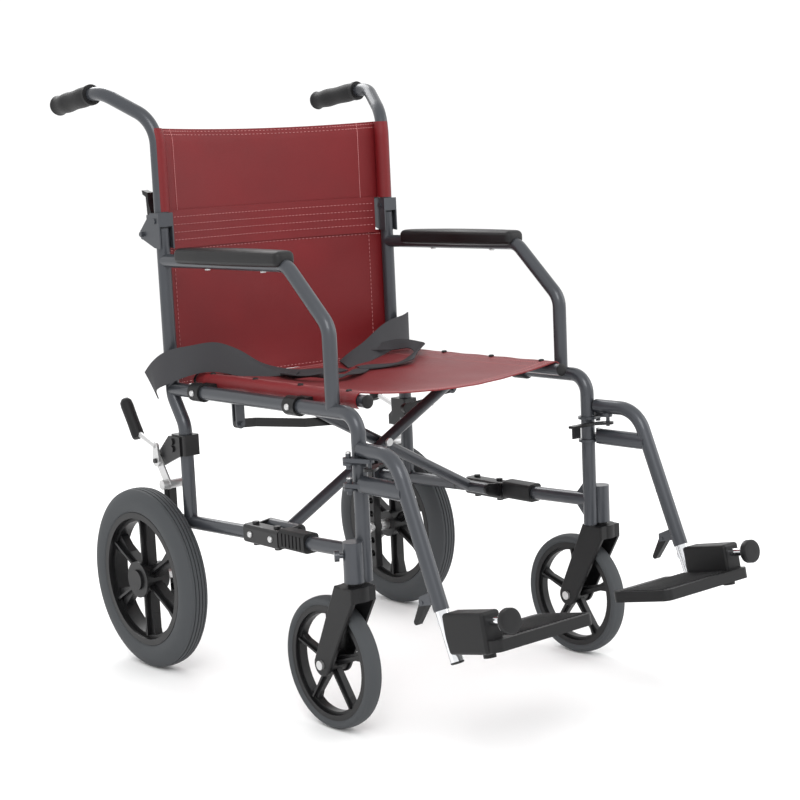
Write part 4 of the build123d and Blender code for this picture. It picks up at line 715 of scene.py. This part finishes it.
# ---------------------------------------------------------------- trim
class WHEELCHAIR_OT_trim(bpy.types.Operator):
    """Tube plugs, buttons, rivets and bolt heads"""

    bl_idname = "wheelchair.trim"
    bl_label = "Small trim"

    def execute(self, context):
        dome = [(0, 1.0), (0.25, 1.0), (0.5, 0.86), (0.62, 0.55), (0.65, 0.2)]
        plug = [(-0.4, 0.8), (0, 0.85), (0, 1.0), (0.18, 1.0), (0.3, 0.8), (0.34, 0.3)]

        def bolt(centre, axis, radius, profile=dome):
            return turned([(a * radius, b * radius) for a, b in profile], centre, axis, 24)

        for name, side in SIDES:
            frame_body = f"{name}_frame"
            brace = "brace_a" if side > 0 else "brace_b"
            rail_x, rail_z, rail_r, front, rear = rail_facts()
            rail_low, rail_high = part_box(f"brace_{name}_rail")
            caps = [bolt((side * rail_x, rail_low.y, rail_z), (0, -1, 0), rail_r + 0.0008, plug),
                    bolt((side * rail_x, rail_high.y, rail_z), (0, 1, 0), rail_r + 0.0008, plug)]
            finish_piece(join(caps), f"rail_plugs_{name}", "plastic", brace)
            low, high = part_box(f"brace_bracket_{name}")
            outer = side * 0.2492
            bolts = [bolt((outer, low.y + d, (low.z + high.z) / 2), (side, 0, 0), 0.0052)
                     for d in (0.018, high.y - low.y - 0.018)]
            finish_piece(join(bolts), f"bracket_bolts_{name}", "zinc", frame_body)
            low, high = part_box(f"seat_saddles_{name}")
            bolts = [bolt((side * 0.251, y, SEAT_TUBE_Z), (side, 0, 0), 0.005)
                     for y in (low.y + 0.014, high.y - 0.014)]
            finish_piece(join(bolts), f"saddle_bolts_{name}", "zinc", frame_body)
            slant = Vector((0, 0.0855, 0.205)).normalized()
            back = Vector((0, slant.z, -slant.y))
            top = Vector((side * LEG_X, AXLE_Y - 0.634, 0.424))
            spot = top - slant * ((0.424 - 0.3025) / slant.z)
            button = bolt(spot + back * 0.0105, back, 0.0034)
            collar = turned([(-0.0005, 0.0052), (0.0005, 0.0052), (0.0008, 0.0046)],
                            spot + back * 0.0105, back, 24)
            finish_piece(join([button, collar]), f"length_button_{name}", "chrome",
                         f"leg_extension_{name}")
            foot = Vector((side * LEG_X, AXLE_Y - 0.7195, 0.219)) - slant * 0.0726
            finish_piece(bolt(foot, -slant, 0.0098, plug), f"tube_plug_{name}", "plastic",
                         f"leg_extension_{name}")
            tilt = radians(FOOT_TILT)
            ahead = Vector((0, -cos(tilt), sin(tilt)))
            knob_at = Vector((side * LEG_X, AXLE_Y - 0.854, FOOT_ROD_Z + 0.129 * sin(tilt) / cos(tilt)))
            knob = turned([(-0.0085, 0.0085), (-0.0058, 0.012), (-0.0054, 0.0168), (-0.004, 0.0174),
                           (0.004, 0.0174), (0.0053, 0.0166), (0.0058, 0.013), (0.0056, 0.006)],
                          knob_at, ahead, 40)
            finish_piece(knob, f"foot_knob_{name}", "plastic", f"footplate_rod_{name}")
            studs = [bolt((side * (rail_x - 0.001), front + 0.03 + k * (rear - front - 0.06) / 3,
                           rail_z + 0.0118), (0, 0, 1), 0.0048) for k in range(4)]
            finish_piece(join(studs), f"seat_studs_{name}", "plastic", brace)
            pins = [bolt((side * 0.258, AXLE_Y - 0.541, z), (0, 0, 1), 0.0041) for z in (0.42, 0.383)]
            finish_piece(join(pins), f"hanger_pin_tops_{name}", "zinc", frame_body)
            grip_low = Vector((side * LEVER_X, AXLE_Y + 0.03, 0.396))
            run = Vector((side * LEVER_X, AXLE_Y + 0.057, 0.441)) - grip_low
            cover = [(-0.0112, 0.0062), (-0.0108, 0.0092), (-0.008, 0.0106), (0, 0.0108), (0.02, 0.0104),
                     (run.length - 0.004, 0.0108), (run.length + 0.004, 0.01), (run.length + 0.009, 0.0062),
                     (run.length + 0.0106, 0.002)]
            finish_piece(turned(cover, grip_low, run, 32), f"brake_grip_{name}", "grip",
                         f"brake_lever_{name}")
            rear_end = turned([(-0.001, 0.0105), (0.0006, 0.0112), (0.002, 0.0105), (0.0028, 0.005)],
                              (side * 0.2435, AXLE_Y - 0.5525, 0.424), (side * -0.06, 1, 0), 28)
            finish_piece(rear_end, f"hanger_plug_{name}", "plastic", f"hanger_{name}")
        return {"FINISHED"}


class WHEELCHAIR_OT_plates(bpy.types.Operator):
    """Ribs along the tops of the foot plates"""

    bl_idname = "wheelchair.plates"
    bl_label = "Foot plate ribs"

    def execute(self, context):
        tilt = radians(FOOT_TILT)
        for name, side in SIDES:
            origin = Vector((side * LEG_X, AXLE_Y - 0.725, FOOT_ROD_Z))
            bpy.ops.object.select_all(action="DESELECT")
            bpy.ops.mesh.primitive_cube_add(size=1, location=(0, 0, 0))
            rib = bpy.context.object
            rib.scale = (0.0028, 0.086, 0.0018)
            bpy.ops.object.transform_apply(location=True, rotation=True, scale=True)
            bpy.ops.object.mode_set(mode="EDIT")
            bpy.ops.mesh.select_all(action="SELECT")
            bpy.ops.mesh.bevel(offset=0.0006, segments=2, affect="EDGES")
            bpy.ops.object.mode_set(mode="OBJECT")
            places = []
            for index in range(20):
                x = 0.0815 + index * 0.0071 - LEG_X
                local = Matrix.Translation((side * x, -0.059, -0.0242))
                places.append(Matrix.Translation(origin) @ Matrix.Rotation(-tilt, 4, "X") @ local)
            obj = copies(rib, places)
            finish_piece(obj, f"plate_ribs_{name}", "plastic", f"footplate_{name}")
        return {"FINISHED"}


# ---------------------------------------------------------------- stage
CAMERA_AT = (-1.7396, -2.1037, 0.8445)
CAMERA_TURN = (-40.16, 9.03, -2.55)
# name, place, energy, size
LAMPS = (("key", (-1.8, -2.2, 2.6), 45, 1.6), ("fill", (2.4, -1.6, 1.8), 20, 2.0),
         ("rim", (0.6, 2.4, 2.4), 35, 1.6))


class WHEELCHAIR_OT_stage(bpy.types.Operator):
    """Floor, lights, world and camera"""

    bl_idname = "wheelchair.stage"
    bl_label = "Stage"

    def execute(self, context):
        bpy.ops.object.select_all(action="DESELECT")
        bpy.ops.mesh.primitive_plane_add(size=120, location=(0, 0, -0.0005))
        floor = bpy.context.object
        floor.name = "floor"
        mat = shader("floor", (0.96, 0.96, 0.96), 0.995, 1.005, (0.85, 0.9), 0.0)
        floor.data.materials.append(mat)
        world = bpy.data.worlds.new("studio")
        world.use_nodes = True
        world.node_tree.nodes["Background"].inputs["Color"].default_value = (1, 1, 1, 1)
        world.node_tree.nodes["Background"].inputs["Strength"].default_value = 1.1
        context.scene.view_settings.view_transform = "Standard"
        context.scene.world = world
        for name, place, energy, size in LAMPS:
            bpy.ops.object.light_add(type="AREA", location=place)
            lamp = bpy.context.object
            lamp.name = name
            lamp.data.energy = energy
            lamp.data.size = size
            lamp.rotation_euler = (Vector((0, 0, 0.5)) - Vector(place)).to_track_quat("-Z", "Y").to_euler()
        turn, rise, roll = (radians(v) for v in CAMERA_TURN)
        back = Vector((sin(turn) * cos(rise), -cos(turn) * cos(rise), sin(rise)))
        right = Vector((cos(turn), sin(turn), 0))
        up = back.cross(right)
        x_axis = right * cos(roll) + up * sin(roll)
        y_axis = up * cos(roll) - right * sin(roll)
        data = bpy.data.cameras.new("camera")
        data.lens = 77.16
        data.sensor_width = 36
        data.shift_x = -0.0151
        data.shift_y = 0.0268
        camera = bpy.data.objects.new("camera", data)
        context.collection.objects.link(camera)
        turned_view = Matrix((x_axis, y_axis, back)).transposed().to_4x4()
        camera.matrix_world = Matrix.Translation(CAMERA_AT) @ turned_view
        context.scene.camera = camera
        return {"FINISHED"}


class WHEELCHAIR_PT_panel(bpy.types.Panel):
    """Settings and steps"""

    bl_idname = "WHEELCHAIR_PT_panel"
    bl_label = "Wheelchair"
    bl_space_type = "VIEW_3D"
    bl_region_type = "UI"
    bl_category = "Wheelchair"

    def draw(self, context):
        for key in WheelchairLooks.__annotations__:
            self.layout.prop(context.scene.wheelchair_looks, key)
        for step in STEPS:
            self.layout.operator(step.bl_idname)


STEPS = (WHEELCHAIR_OT_materials, WHEELCHAIR_OT_seat, WHEELCHAIR_OT_back, WHEELCHAIR_OT_pads,
         WHEELCHAIR_OT_belts, WHEELCHAIR_OT_trim, WHEELCHAIR_OT_plates, WHEELCHAIR_OT_stage)
CLASSES = (WheelchairLooks,) + STEPS + (WHEELCHAIR_PT_panel,)


def register():
    for cls in CLASSES:
        bpy.utils.register_class(cls)
    bpy.types.Scene.wheelchair_looks = PointerProperty(type=WheelchairLooks)


def unregister():
    del bpy.types.Scene.wheelchair_looks
    for cls in reversed(CLASSES):
        bpy.utils.unregister_class(cls)


def main():
    """Build every piece in order."""
    register()
    for step in STEPS:
        group, name = step.bl_idname.split(".")
        getattr(getattr(bpy.ops, group), name)()


if __name__ == "__main__":
    main()
